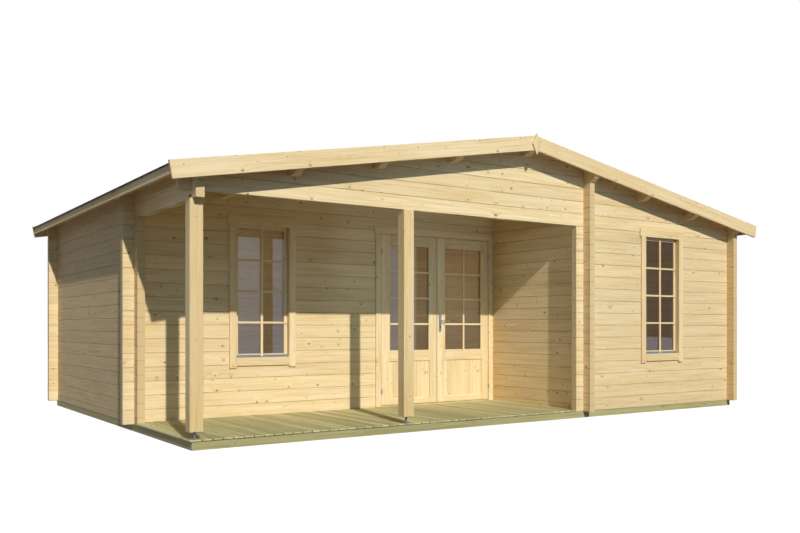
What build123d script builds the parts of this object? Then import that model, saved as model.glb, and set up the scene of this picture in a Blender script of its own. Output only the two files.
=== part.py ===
from build123d import *
import os
from math import atan, cos, sin

# A single-storey log house with a low gable roof and a porch recessed into its front left corner.
# X runs along the front to the right, Y to the back, Z up. The origin is on the ground, under the
# ridge, midway between the front and the rear. All sizes are in millimetres.

# Logs
log_height = 135.0
log_thickness = 70.0
log_end = 105.0
groove = 5.0
head_courses = 15
beam_courses = 14

# Plan of the walls, over their outer faces
house_width = 6890.0
house_depth = 5060.0
porch_width = 4317.0
porch_depth = 1610.0

# Foundation, porch deck and floors
foundation_height = 67.0
foundation_beam = 95.0
foundation_inset = 4.0
deck_thickness = 19.0
deck_pitch = 88.0
deck_gap = 5.0
deck_gap_depth = 12.0
deck_clearance = 2.0
porch_joists = 2
room_joists = 5
floor_thickness = 26.0

# Roof
roof_slope_share = 0.18076
eave_log_rise = 109.4
eave_overhang = 245.0
gable_overhang = 220.0
barge_proud = 22.0
barge_width = 146.0
barge_thickness = 32.0
felt_thickness = 5.0
roof_board = 20.0
felt_drip = 10.0
eave_trim_inset = 18.0
eave_trim_thickness = 18.0
eave_trim_height = 75.0
purlin_height = 138.0
purlins_each_side = 3
purlin_end_rise = 43.0
finial_width = 111.0
finial_height = 218.0
finial_thickness = 20.0
finial_over_ridge = 18.0

# Porch posts and their screw feet
post_size = 110.0
post_chamfer = 4.0
middle_post_share = 0.4742
foot_height = 65.0
foot_plate = 72.0
foot_plate_thickness = 5.0
foot_stud_radius = 10.0
foot_nut_radius = 17.0
foot_nut_sides = 6
foot_nut_height = 12.0

# Windows: clear size inside the lining, shares of the wall to their middles, what surrounds them
window_width = 576.0
window_sill_z = 680.0
window_below_head = 50.0
porch_window_share = 0.4846
front_window_share = 0.4972
lining_thickness = 22.0
sash_depth = 49.0
sash_thickness = 42.0
sash_stile = 37.0
glass_thickness = 6.0
glass_hold = 8.0
casing_thickness = 20.0
casing_width = 75.0
casing_head_height = 95.0
casing_head_overhang = 20.0
casing_apron_height = 85.0
casing_tail = 21.0
drip_height = 22.0
drip_thickness = 10.0

# Double door, hung to open out over the deck
door_wall_gap = 44.0
door_width = 1535.0
door_jamb = 38.0
door_stop_width = 12.0
door_stop_gap = 7.0
door_casing_width = 68.0
door_casing_head = 80.0
door_casing_overhang = 14.0
threshold_thickness = 28.0
leaf_thickness = 45.0
leaf_proud = 12.0
leaf_side_gap = 6.0
leaf_middle_gap = 8.0
leaf_floor_gap = 8.0
leaf_stile = 115.0
leaf_top_rail = 120.0
leaf_lock_rail = 127.0
leaf_bottom_rail = 75.0
leaf_panel_height = 421.0
leaf_panel_recess = 9.0
leaf_panel_reach = 15.0

# Hinges and handle
hinge_proud = 16.0
hinge_radius = 8.0
hinge_knuckle = 28.0
hinge_gap = 0.3
hinge_from_bottom = 161.0
hinge_from_top = 194.0
handle_height_share = 0.4961
handle_backset = 40.0
plate_width = 38.0
plate_height = 216.0
plate_thickness = 3.0
plate_above = 82.0
spindle_radius = 4.0
spindle_hole_radius = 6.0
neck_radius = 8.0
neck_length = 48.0
neck_clearance = 0.3
lever_length = 112.0
lever_height = 14.0
lever_thickness = 11.0

# Places worked out from the sizes
half_width = house_width / 2
half_depth = house_depth / 2
front_y = -half_depth
porch_y = front_y + porch_depth
inner_x = porch_width - half_width
wall_inner_x = half_width - log_thickness
left_centre_x = log_thickness / 2 - half_width
right_centre_x = half_width - log_thickness / 2
inner_centre_x = inner_x + log_thickness / 2
front_centre_y = front_y + log_thickness / 2
porch_centre_y = porch_y + log_thickness / 2
back_centre_y = half_depth - log_thickness / 2
end_reach_x = half_width + log_end
end_reach_y = half_depth + log_end
wall_foot_z = foundation_height
half_log = log_height / 2
y_wall_foot_joint_z = wall_foot_z + half_log
head_z = wall_foot_z + head_courses * log_height
beam_z = y_wall_foot_joint_z + beam_courses * log_height
eave_log_z = beam_z + log_height
deck_top_z = foundation_height + deck_thickness

# The roof lies on the eave logs and rises from them to the ridge
roof_angle = atan(roof_slope_share)
roof_half_width = half_width + eave_overhang
roof_half_depth = half_depth + gable_overhang
barge_back_y = roof_half_depth - barge_thickness
felt_rise = felt_thickness / cos(roof_angle)
board_rise = roof_board / cos(roof_angle)
ridge_underside = eave_log_z + eave_log_rise + roof_slope_share * half_width
boards_top_z = ridge_underside + board_rise
ridge_top = boards_top_z + felt_rise + barge_proud
purlin_step = (right_centre_x - inner_centre_x) / purlins_each_side
purlin_places = [inner_centre_x + step * purlin_step for step in range(purlins_each_side)]
purlin_low_z = ridge_underside - roof_slope_share * inner_centre_x - purlin_height
inner_wall_logs = int((purlin_low_z - y_wall_foot_joint_z) // log_height)
inner_wall_top_z = y_wall_foot_joint_z + inner_wall_logs * log_height

# Heights of the joints between logs, half a log apart in the two directions of wall
most_courses = int(ridge_top // log_height) + 1
over_all_z = wall_foot_z + most_courses * log_height
course_joints_x = [wall_foot_z + n * log_height for n in range(most_courses)]
course_joints_y = [y_wall_foot_joint_z + n * log_height for n in range(most_courses)]

# Faces of a wall that show outside and get the V joints: the low side, the high side or both
low_face = (True, False)
high_face = (False, True)
both_faces = (True, True)


def underside(x):
    """Height of the roof boards' underside over a place along the front."""
    return ridge_underside - roof_slope_share * abs(x)


def log_outline(low, high, z_low, z_high, joints, faces):
    """Points round a stack of logs seen end on: bevelled rims, and a V at every joint on the faces."""
    inside = [z for z in joints if z_low + groove < z < z_high - groove]
    near = [(low + groove, z_low), (low, z_low + groove)]
    far = [(high - groove, z_low), (high, z_low + groove)]
    for z in inside:
        if faces[0]:
            near += [(low, z - groove), (low + groove, z), (low, z + groove)]
        if faces[1]:
            far += [(high, z - groove), (high - groove, z), (high, z + groove)]
    near += [(low, z_high - groove), (low + groove, z_high)]
    far += [(high, z_high - groove), (high - groove, z_high)]
    return far + near[::-1]


def stack_along_x(x_low, x_high, y_low, z_low, z_high, faces):
    """Adds a wall of logs that run along the front, laid from a whole log up."""
    with BuildSketch(Plane.YZ.offset(x_low)) as outline:
        with BuildLine():
            y_high = y_low + log_thickness
            Polyline(*log_outline(y_low, y_high, z_low, z_high, course_joints_x, faces), close=True)
        make_face()
    extrude(outline.sketch, amount=x_high - x_low)


def stack_along_y(y_low, y_high, x_low, z_low, z_high, faces):
    """Adds a wall of logs that run front to back, laid from a half log up."""
    with BuildSketch(Plane.XZ.offset(-y_high)) as outline:
        with BuildLine():
            x_high = x_low + log_thickness
            Polyline(*log_outline(x_low, x_high, z_low, z_high, course_joints_y, faces), close=True)
        make_face()
    extrude(outline.sketch, amount=y_high - y_low)


def notch(centres, joints):
    """Cuts the notches that let the crossing wall's logs through, one over each given joint."""
    places = [(x, y, z) for x, y in centres for z in joints]
    with Locations(*places):
        Box(log_thickness, log_thickness, half_log, mode=Mode.SUBTRACT)


def block(x, y, z, mode=Mode.ADD):
    """Adds or cuts a box between low and high values along each axis."""
    with Locations((x[0], y[0], z[0])):
        Box(x[1] - x[0], y[1] - y[0], z[1] - z[0], align=Align.MIN, mode=mode)


# What lies over the roof boards' underside, taken off every wall and purlin
with BuildPart() as above_roof:
    with BuildSketch(Plane.XZ):
        with BuildLine():
            reach = roof_half_width + log_end
            Polyline(
                (-reach, underside(reach)),
                (0, ridge_underside),
                (reach, underside(reach)),
                (reach, over_all_z),
                (-reach, over_all_z),
                close=True,
            )
        make_face()
    extrude(amount=roof_half_depth, both=True)

# Foundation: treated beams across the house with joists between them, and a beam down each side
foundation_left = foundation_inset - half_width
foundation_right = half_width - foundation_inset
foundation_front = front_y + foundation_inset
foundation_back = half_depth - foundation_inset
porch_joist_step = (porch_y - foundation_front) / (porch_joists + 1)
room_joist_step = (foundation_back - foundation_beam - porch_y) / (room_joists + 1)
joist_rows = [foundation_front + n * porch_joist_step for n in range(1, porch_joists + 1)]
joist_rows += [porch_y + n * room_joist_step for n in range(room_joists + 1)]
foundation_z = (0, foundation_height)
joist_x = (foundation_left + foundation_beam, foundation_right - foundation_beam)
side_beam_y = (foundation_front + foundation_beam, foundation_back - foundation_beam)
with BuildPart() as foundation_beams:
    for row in (foundation_front, foundation_back - foundation_beam):
        block((foundation_left, foundation_right), (row, row + foundation_beam), foundation_z)
    for row in joist_rows:
        block(joist_x, (row, row + foundation_beam), foundation_z)
with BuildPart() as foundation_side_beams:
    for rail_x in (foundation_left, foundation_right - foundation_beam):
        block((rail_x, rail_x + foundation_beam), side_beam_y, foundation_z)

# Porch deck: boards laid front to back, seen as grooves in one slab, fitted round the log ends
deck_right = inner_x - deck_clearance
deck_back = porch_y - deck_clearance
deck_boards = int((deck_right - foundation_left) // deck_pitch)
with BuildPart() as porch_deck:
    deck_z_span = (foundation_height, deck_top_z)
    block((foundation_left, deck_right), (foundation_front, deck_back), deck_z_span)
    block(
        (-half_width - deck_clearance, log_thickness - half_width + deck_clearance),
        (porch_y - log_end - deck_clearance, porch_y),
        deck_z_span,
        Mode.SUBTRACT,
    )
    block(
        (inner_x - log_end - deck_clearance, inner_x),
        (front_y - deck_clearance, front_y + log_thickness + deck_clearance),
        deck_z_span,
        Mode.SUBTRACT,
    )
    gap_z = deck_top_z - deck_gap_depth / 2
    gap_y = (foundation_front + deck_back) / 2
    gaps = [(foundation_left + n * deck_pitch, gap_y, gap_z) for n in range(1, deck_boards + 1)]
    with Locations(*gaps):
        Box(deck_gap, deck_back - foundation_front, deck_gap_depth, mode=Mode.SUBTRACT)

# Floors of the two parts of the room
floor_z_span = (foundation_height, foundation_height + floor_thickness)
with BuildPart() as main_floor:
    block(
        (-wall_inner_x, wall_inner_x),
        (porch_y + log_thickness, half_depth - log_thickness),
        floor_z_span,
    )
    block(
        (inner_x, inner_x + log_thickness),
        (porch_y + log_thickness, porch_y + log_thickness + log_end),
        floor_z_span,
        Mode.SUBTRACT,
    )
with BuildPart() as wing_floor:
    block(
        (inner_x + log_thickness, wall_inner_x),
        (front_y + log_thickness, porch_y + log_thickness),
        floor_z_span,
    )
    block(
        (inner_x + log_thickness, inner_x + log_thickness + log_end),
        (porch_y, porch_y + log_thickness),
        floor_z_span,
        Mode.SUBTRACT,
    )

# Purlins: logs set into the gables, their ends cut away below where they carry the bargeboards
def purlin_outline(z_low):
    """Points of a purlin seen from its side, long enough to reach over the roof boards."""
    return [
        (-end_reach_y, z_low),
        (end_reach_y, z_low),
        (barge_back_y, z_low + purlin_end_rise),
        (barge_back_y, over_all_z),
        (-barge_back_y, over_all_z),
        (-barge_back_y, z_low + purlin_end_rise),
    ]


with BuildPart() as ridge_purlin:
    with BuildSketch(Plane.YZ):
        with BuildLine():
            Polyline(*purlin_outline(ridge_underside - purlin_height), close=True)
        make_face()
    extrude(amount=log_thickness / 2, both=True)
    add(above_roof.part, mode=Mode.SUBTRACT)
with BuildPart() as purlins:
    for place in purlin_places:
        for side in (-1, 1):
            over_inner_wall = side * place == inner_centre_x
            purlin_z = inner_wall_top_z if over_inner_wall else underside(place) - purlin_height
            with BuildSketch(Plane.YZ.offset(side * place)):
                with BuildLine():
                    Polyline(*purlin_outline(purlin_z), close=True)
                make_face()
            extrude(amount=log_thickness / 2, both=True)
    add(above_roof.part, mode=Mode.SUBTRACT)


def gable_trim():
    """Cuts a wall to the roof and lets the purlins through it."""
    add(above_roof.part, mode=Mode.SUBTRACT)
    add(ridge_purlin.part, mode=Mode.SUBTRACT)
    add(purlins.part, mode=Mode.SUBTRACT)


# Window and door openings in the walls
window_head_z = head_z - window_below_head
window_hole_half = window_width / 2 + lining_thickness
window_hole_z = (window_sill_z - lining_thickness, window_head_z + lining_thickness)
door_hole_right = inner_x - door_wall_gap
door_hole_left = door_hole_right - door_width - 2 * door_jamb
porch_window_x = porch_window_share * (door_hole_left + half_width) - half_width
front_window_x = inner_x + front_window_share * (half_width - inner_x)


def window_hole(centre_x, y_low):
    """Cuts a window's opening through a wall that runs along the front."""
    x_span = (centre_x - window_hole_half, centre_x + window_hole_half)
    block(x_span, (y_low, y_low + log_thickness), window_hole_z, Mode.SUBTRACT)


# Walls that run along the front
with BuildPart() as back_wall:
    back_inner_y = half_depth - log_thickness
    stack_along_x(-end_reach_x, end_reach_x, back_inner_y, wall_foot_z, over_all_z, high_face)
    notch([(left_centre_x, back_centre_y), (right_centre_x, back_centre_y)], course_joints_x)
    gable_trim()
with BuildPart() as front_wall:
    stack_along_x(inner_x - log_end, end_reach_x, front_y, wall_foot_z, head_z, low_face)
    notch([(inner_centre_x, front_centre_y), (right_centre_x, front_centre_y)], course_joints_x)
    window_hole(front_window_x, front_y)
with BuildPart() as front_gable:
    stack_along_x(-end_reach_x, end_reach_x, front_y, head_z, over_all_z, both_faces)
    notch([(left_centre_x, front_centre_y), (right_centre_x, front_centre_y)], course_joints_x)
    notch([(inner_centre_x, front_centre_y)], course_joints_x)
    gable_trim()
with BuildPart() as porch_wall_left:
    stack_along_x(-end_reach_x, door_hole_left, porch_y, wall_foot_z, head_z, low_face)
    notch([(left_centre_x, porch_centre_y)], course_joints_x)
    window_hole(porch_window_x, porch_y)
inner_end_x = inner_x + log_thickness + log_end
with BuildPart() as porch_wall_right:
    stack_along_x(door_hole_right, inner_end_x, porch_y, wall_foot_z, head_z, low_face)
    notch([(inner_centre_x, porch_centre_y)], course_joints_x)
with BuildPart() as porch_gable:
    stack_along_x(-end_reach_x, inner_end_x, porch_y, head_z, over_all_z, low_face)
    notch([(left_centre_x, porch_centre_y), (inner_centre_x, porch_centre_y)], course_joints_x)
    gable_trim()

# Walls that run front to back, the top log of a side wall run out to the bargeboards
def trim_under_eave_log(x_low):
    """Cuts a side wall's lower logs back to their ends and slants the top log's ends up."""
    rise = barge_back_y - end_reach_y
    for way in (-1, 1):
        with BuildSketch(Plane.YZ.offset(x_low)) as outline:
            with BuildLine():
                Polyline(
                    (way * end_reach_y, wall_foot_z),
                    (way * barge_back_y, wall_foot_z),
                    (way * barge_back_y, eave_log_z + rise),
                    (way * end_reach_y, eave_log_z),
                    close=True,
                )
            make_face()
        extrude(outline.sketch, amount=log_thickness, mode=Mode.SUBTRACT)


with BuildPart() as left_side_wall:
    stack_along_y(porch_y - log_end, end_reach_y, -half_width, wall_foot_z, beam_z, low_face)
    notch([(left_centre_x, porch_centre_y), (left_centre_x, back_centre_y)], course_joints_y)
with BuildPart() as left_eave_beam:
    stack_along_y(-barge_back_y, barge_back_y, -half_width, beam_z, over_all_z, both_faces)
    trim_under_eave_log(-half_width)
    beam_crossings = [front_centre_y, porch_centre_y, back_centre_y]
    notch([(left_centre_x, y) for y in beam_crossings], course_joints_y)
    add(above_roof.part, mode=Mode.SUBTRACT)
with BuildPart() as right_side_wall:
    stack_along_y(-barge_back_y, barge_back_y, wall_inner_x, wall_foot_z, over_all_z, high_face)
    trim_under_eave_log(wall_inner_x)
    notch([(right_centre_x, front_centre_y), (right_centre_x, back_centre_y)], course_joints_y)
    add(above_roof.part, mode=Mode.SUBTRACT)
inner_end_y = porch_y + log_thickness + log_end
with BuildPart() as inner_wall:
    stack_along_y(-end_reach_y, inner_end_y, inner_x, wall_foot_z, inner_wall_top_z, low_face)
    notch([(inner_centre_x, front_centre_y), (inner_centre_x, porch_centre_y)], course_joints_y)

pieces = {
    "foundation_beams": foundation_beams,
    "foundation_side_beams": foundation_side_beams,
    "porch_deck": porch_deck,
    "main_floor": main_floor,
    "wing_floor": wing_floor,
    "back_wall": back_wall,
    "front_wall": front_wall,
    "front_gable": front_gable,
    "porch_wall_left": porch_wall_left,
    "porch_wall_right": porch_wall_right,
    "porch_gable": porch_gable,
    "left_side_wall": left_side_wall,
    "left_eave_beam": left_eave_beam,
    "right_side_wall": right_side_wall,
    "inner_wall": inner_wall,
    "ridge_purlin": ridge_purlin,
    "purlins": purlins,
}


# Roof covering, eave trims and bargeboards, a left and a right one of each
trim_face_x = roof_half_width - eave_trim_inset
felt_edge_x = trim_face_x + felt_drip
eave_inner_x = trim_face_x - eave_trim_thickness
barge_plumb = barge_width / cos(roof_angle)


def slope_band(side, out_x, ridge_z, rise):
    """Points of a band of even thickness that falls from the ridge to one eave."""
    out_z = ridge_z - roof_slope_share * out_x
    return [(0, ridge_z), (side * out_x, out_z), (side * out_x, out_z + rise), (0, ridge_z + rise)]


def barge_outline(side):
    """Points of a bargeboard: a plumb cut at the ridge and a square end at the eave."""
    end_z = ridge_top - roof_slope_share * roof_half_width
    low_x = roof_half_width - barge_width * sin(roof_angle)
    low_z = end_z - barge_width * cos(roof_angle)
    return [
        (0, ridge_top),
        (side * roof_half_width, end_z),
        (side * low_x, low_z),
        (0, ridge_top - barge_plumb),
    ]


for side, hand in ((-1, "left"), (1, "right")):
    with BuildPart() as roof_boards:
        with BuildSketch(Plane.XZ):
            with BuildLine():
                Polyline(*slope_band(side, eave_inner_x, ridge_underside, board_rise), close=True)
            make_face()
        extrude(amount=barge_back_y, both=True)
    with BuildPart() as roof_felt:
        with BuildSketch(Plane.XZ):
            with BuildLine():
                Polyline(*slope_band(side, felt_edge_x, boards_top_z, felt_rise), close=True)
            make_face()
        extrude(amount=barge_back_y, both=True)
    with BuildPart() as eave_trim:
        with BuildSketch(Plane.XZ):
            with BuildLine():
                trim_top_z = boards_top_z - roof_slope_share * trim_face_x
                Polyline(
                    (side * eave_inner_x, boards_top_z - roof_slope_share * eave_inner_x),
                    (side * trim_face_x, trim_top_z),
                    (side * trim_face_x, trim_top_z - eave_trim_height),
                    (side * eave_inner_x, trim_top_z - eave_trim_height),
                    close=True,
                )
            make_face()
        extrude(amount=barge_back_y, both=True)
    pieces[f"roof_boards_{hand}"] = roof_boards
    pieces[f"roof_felt_{hand}"] = roof_felt
    pieces[f"eave_trim_{hand}"] = eave_trim
    for way, end_name in ((1, "front"), (-1, "rear")):
        with BuildPart() as bargeboard:
            with BuildSketch(Plane.XZ.offset(way * barge_back_y)):
                with BuildLine():
                    Polyline(*barge_outline(side), close=True)
                make_face()
            extrude(amount=way * barge_thickness)
        pieces[f"bargeboard_{end_name}_{hand}"] = bargeboard

# Diamond boards over the joint of each pair of bargeboards
finial_centre_z = ridge_top + finial_over_ridge - finial_height / 2
for way, end_name in ((1, "front"), (-1, "rear")):
    with BuildPart() as finial:
        with BuildSketch(Plane.XZ.offset(way * roof_half_depth)):
            with BuildLine():
                Polyline(
                    (0, finial_centre_z - finial_height / 2),
                    (finial_width / 2, finial_centre_z),
                    (0, finial_centre_z + finial_height / 2),
                    (-finial_width / 2, finial_centre_z),
                    close=True,
                )
            make_face()
        extrude(amount=way * finial_thickness)
    pieces[f"finial_{end_name}"] = finial

# Porch posts on screw feet
post_low_z = deck_top_z + foot_height
middle_post_x = middle_post_share * porch_width - half_width
post_places = {
    "porch_post_left": (left_centre_x, beam_z),
    "porch_post_middle": (middle_post_x, head_z),
}
for post_name, (post_x, post_high_z) in post_places.items():
    with BuildPart() as porch_post:
        post_half = post_size / 2
        block(
            (post_x - post_half, post_x + post_half),
            (front_centre_y - post_half, front_centre_y + post_half),
            (post_low_z, post_high_z),
        )
        chamfer(porch_post.edges().filter_by(Axis.Z), length=post_chamfer)
    pieces[post_name] = porch_post
with BuildPart() as post_feet:
    for post_x, _ in post_places.values():
        top_plate_z = post_low_z - foot_plate_thickness
        with Locations((post_x, front_centre_y, deck_top_z), (post_x, front_centre_y, top_plate_z)):
            Box(
                foot_plate,
                foot_plate,
                foot_plate_thickness,
                align=(Align.CENTER, Align.CENTER, Align.MIN),
            )
        with Locations((post_x, front_centre_y, deck_top_z)):
            Cylinder(
                foot_stud_radius,
                foot_height,
                align=(Align.CENTER, Align.CENTER, Align.MIN),
            )
        with BuildSketch(Plane((post_x, front_centre_y, top_plate_z))):
            RegularPolygon(foot_nut_radius, foot_nut_sides)
        extrude(amount=-foot_nut_height)
pieces["post_feet"] = post_feet

# Windows: a lining with casing boards, a sash, its glass and a drip strip
window_places = {
    "porch_window": (porch_window_x, porch_y),
    "front_window": (front_window_x, front_y),
}
half_window = window_width / 2
for window_name, (window_x, face_y) in window_places.items():
    clear_x = (window_x - half_window, window_x + half_window)
    clear_z = (window_sill_z, window_head_z)
    sash_y = (face_y + sash_depth, face_y + sash_depth + sash_thickness)
    casing_y = (face_y - casing_thickness, face_y)
    glass_mid_y = (sash_y[0] + sash_y[1]) / 2
    glass_y = (glass_mid_y - glass_thickness / 2, glass_mid_y + glass_thickness / 2)
    pane_edge = sash_stile - glass_hold
    glass_x = (clear_x[0] + pane_edge, clear_x[1] - pane_edge)
    glass_z = (clear_z[0] + pane_edge, clear_z[1] - pane_edge)
    with BuildPart() as window_frame:
        hole_x = (window_x - window_hole_half, window_x + window_hole_half)
        block(hole_x, (face_y, sash_y[1]), window_hole_z)
        block(clear_x, (face_y, sash_y[1]), clear_z, Mode.SUBTRACT)
        board_low_z = window_sill_z - casing_apron_height - casing_tail
        block((clear_x[0] - casing_width, clear_x[0]), casing_y, (board_low_z, window_head_z))
        block((clear_x[1], clear_x[1] + casing_width), casing_y, (board_low_z, window_head_z))
        block(clear_x, casing_y, (window_sill_z - casing_apron_height, window_sill_z))
        head_reach = casing_width + casing_head_overhang
        block(
            (clear_x[0] - head_reach, clear_x[1] + head_reach),
            casing_y,
            (window_head_z, window_head_z + casing_head_height),
        )
    with BuildPart() as window_sash:
        block(clear_x, sash_y, clear_z)
        block(
            (clear_x[0] + sash_stile, clear_x[1] - sash_stile),
            sash_y,
            (clear_z[0] + sash_stile, clear_z[1] - sash_stile),
            Mode.SUBTRACT,
        )
        block(glass_x, glass_y, glass_z, Mode.SUBTRACT)
    with BuildPart() as window_glass:
        block(glass_x, glass_y, glass_z)
    pieces[f"{window_name}_frame"] = window_frame
    pieces[f"{window_name}_sash"] = window_sash
    pieces[f"{window_name}_glass"] = window_glass
with BuildPart() as window_drips:
    for window_x, face_y in window_places.values():
        block(
            (window_x - half_window, window_x + half_window),
            (face_y + sash_depth - drip_thickness, face_y + sash_depth),
            (window_sill_z, window_sill_z + drip_height),
        )
pieces["window_drips"] = window_drips

# Door frame: jambs, head, threshold and stops in the wall, with casing boards on its face
door_clear_x = (door_hole_left + door_jamb, door_hole_right - door_jamb)
door_head_z = head_z - door_jamb
threshold_top_z = wall_foot_z + threshold_thickness
leaf_face_y = porch_y - leaf_proud
leaf_y = (leaf_face_y, leaf_face_y + leaf_thickness)
with BuildPart() as door_frame:
    frame_y = (porch_y, porch_y + log_thickness)
    block((door_hole_left, door_hole_right), frame_y, (wall_foot_z, head_z))
    block(door_clear_x, frame_y, (threshold_top_z, door_head_z), Mode.SUBTRACT)
    stop_y = (leaf_y[1] + door_stop_gap, porch_y + log_thickness)
    block(door_clear_x, stop_y, (threshold_top_z, door_head_z))
    block(
        (door_clear_x[0] + door_stop_width, door_clear_x[1] - door_stop_width),
        stop_y,
        (threshold_top_z, door_head_z - door_stop_width),
        Mode.SUBTRACT,
    )
    casing_y = (porch_y - casing_thickness, porch_y)
    casing_z = (deck_top_z + deck_clearance, door_head_z)
    casing_left_x = door_clear_x[0] - door_casing_width
    block((casing_left_x, door_clear_x[0]), casing_y, casing_z)
    block((door_clear_x[1], door_hole_right), casing_y, casing_z)
    block(
        (casing_left_x - door_casing_overhang, door_hole_right),
        casing_y,
        (door_head_z, door_head_z + door_casing_head),
    )
pieces["door_frame"] = door_frame

# Door leaves: stiles and rails round a glazed light over a panel sunk on both faces
leaf_z = (threshold_top_z + leaf_floor_gap, door_head_z - leaf_side_gap)
leaf_width = (door_width - leaf_middle_gap) / 2 - leaf_side_gap
panel_z = (leaf_z[0] + leaf_bottom_rail, leaf_z[0] + leaf_bottom_rail + leaf_panel_height)
light_z = (panel_z[1] + leaf_lock_rail, leaf_z[1] - leaf_top_rail)
leaf_glass_mid_y = (leaf_y[0] + leaf_y[1]) / 2
leaf_glass_y = (leaf_glass_mid_y - glass_thickness / 2, leaf_glass_mid_y + glass_thickness / 2)
leaf_starts = {
    "left": door_clear_x[0] + leaf_side_gap,
    "right": door_clear_x[1] - leaf_side_gap - leaf_width,
}
spindle_x = leaf_starts["right"] + handle_backset
handle_z = leaf_z[0] + handle_height_share * (leaf_z[1] - leaf_z[0])
for hand, leaf_x in leaf_starts.items():
    light_x = (leaf_x + leaf_stile, leaf_x + leaf_width - leaf_stile)
    pane_x = (light_x[0] - glass_hold, light_x[1] + glass_hold)
    pane_z = (light_z[0] - glass_hold, light_z[1] + glass_hold)
    panel_x = (light_x[0] - leaf_panel_reach, light_x[1] + leaf_panel_reach)
    with BuildPart() as door_leaf:
        block((leaf_x, leaf_x + leaf_width), leaf_y, leaf_z)
        block(light_x, leaf_y, light_z, Mode.SUBTRACT)
        block(pane_x, leaf_glass_y, pane_z, Mode.SUBTRACT)
        block(panel_x, (leaf_y[0], leaf_y[0] + leaf_panel_recess), panel_z, Mode.SUBTRACT)
        block(panel_x, (leaf_y[1] - leaf_panel_recess, leaf_y[1]), panel_z, Mode.SUBTRACT)
        if hand == "right":
            with Locations(Plane((spindle_x, leaf_glass_mid_y, handle_z), z_dir=(0, 1, 0))):
                Cylinder(spindle_hole_radius, leaf_thickness, mode=Mode.SUBTRACT)
    with BuildPart() as door_glass:
        block(pane_x, leaf_glass_y, pane_z)
    pieces[f"door_leaf_{hand}"] = door_leaf
    pieces[f"door_glass_{hand}"] = door_glass

# Lift-off hinges: the lower knuckle on the casing, the upper one on the leaf
hinge_y = leaf_face_y - hinge_proud
hinge_heights = (leaf_z[0] + hinge_from_bottom, leaf_z[1] - hinge_from_top)
hinge_axes = {
    "left": (door_clear_x[0] + leaf_side_gap / 2, 1),
    "right": (door_clear_x[1] - leaf_side_gap / 2, -1),
}
knuckle_align = (Align.CENTER, Align.CENTER, Align.MIN)
with BuildPart() as hinge_frame_knuckles:
    for axis_x, leaf_way in hinge_axes.values():
        for hinge_z in hinge_heights:
            with Locations((axis_x, hinge_y, hinge_z - hinge_knuckle)):
                Cylinder(hinge_radius, hinge_knuckle, align=knuckle_align)
            neck_x = sorted((axis_x, axis_x - leaf_way * hinge_radius))
            neck_y = (hinge_y, porch_y - casing_thickness)
            block(neck_x, neck_y, (hinge_z - hinge_knuckle, hinge_z))
pieces["hinge_frame_knuckles"] = hinge_frame_knuckles
for hand, (axis_x, leaf_way) in hinge_axes.items():
    with BuildPart() as hinge_leaf_knuckles:
        for hinge_z in hinge_heights:
            with Locations((axis_x, hinge_y, hinge_z + hinge_gap)):
                Cylinder(hinge_radius, hinge_knuckle, align=knuckle_align)
            neck_x = sorted((axis_x, axis_x + leaf_way * hinge_radius))
            neck_z = (hinge_z + hinge_gap, hinge_z + hinge_gap + hinge_knuckle)
            block(neck_x, (hinge_y, leaf_face_y), neck_z)
    pieces[f"hinge_leaf_knuckles_{hand}"] = hinge_leaf_knuckles

# Handle on the right leaf: a long plate on each face and a lever on one spindle
plate_z = (handle_z + plate_above - plate_height, handle_z + plate_above)
plate_faces = (
    (leaf_y[0] - plate_thickness, leaf_y[0]),
    (leaf_y[1], leaf_y[1] + plate_thickness),
)
with BuildPart() as handle_plates:
    plate_x = (spindle_x - plate_width / 2, spindle_x + plate_width / 2)
    for plate_y in plate_faces:
        block(plate_x, plate_y, plate_z)
    with Locations(Plane((spindle_x, leaf_glass_mid_y, handle_z), z_dir=(0, 1, 0))):
        Cylinder(
            spindle_hole_radius,
            leaf_thickness + 2 * plate_thickness,
            mode=Mode.SUBTRACT,
        )
pieces["handle_plates"] = handle_plates
lever_outer_y = leaf_y[0] - plate_thickness - neck_clearance
lever_inner_y = leaf_y[1] + plate_thickness + neck_clearance
with BuildPart() as door_lever:
    with Locations(Plane((spindle_x, leaf_glass_mid_y, handle_z), z_dir=(0, 1, 0))):
        Cylinder(spindle_radius, lever_inner_y - lever_outer_y)
    for neck_y, way in ((lever_outer_y, -1), (lever_inner_y, 1)):
        with BuildSketch(Plane((spindle_x, neck_y, handle_z), z_dir=(0, way, 0))):
            Circle(neck_radius)
        extrude(amount=neck_length)
        bar_y = sorted((neck_y + way * (neck_length - lever_thickness), neck_y + way * neck_length))
        block(
            (spindle_x, spindle_x + lever_length),
            bar_y,
            (handle_z - lever_height / 2, handle_z + lever_height / 2),
        )
pieces["door_lever"] = door_lever

os.makedirs("parts", exist_ok=True)
for name, piece in pieces.items():
    piece.part.label = name
    export_step(piece.part, f"parts/{name}.step")
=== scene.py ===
"""Looks of a log bungalow with a low gable roof and a porch recessed into its front left corner.

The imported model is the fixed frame. Log walls, purlins, posts, floors and foundation beams keep their
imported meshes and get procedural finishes. The roof covering and the boards round it, the deck, the
joinery of the windows and the door, their panes and all metal parts are rebuilt here as separate boards,
sheets and swept forms in the places of the nodes they stand for. All lengths are in metres: X runs along
the front to the right, Y to the back and Z up.
"""

import logging
import math
from dataclasses import dataclass
from enum import Enum

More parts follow.
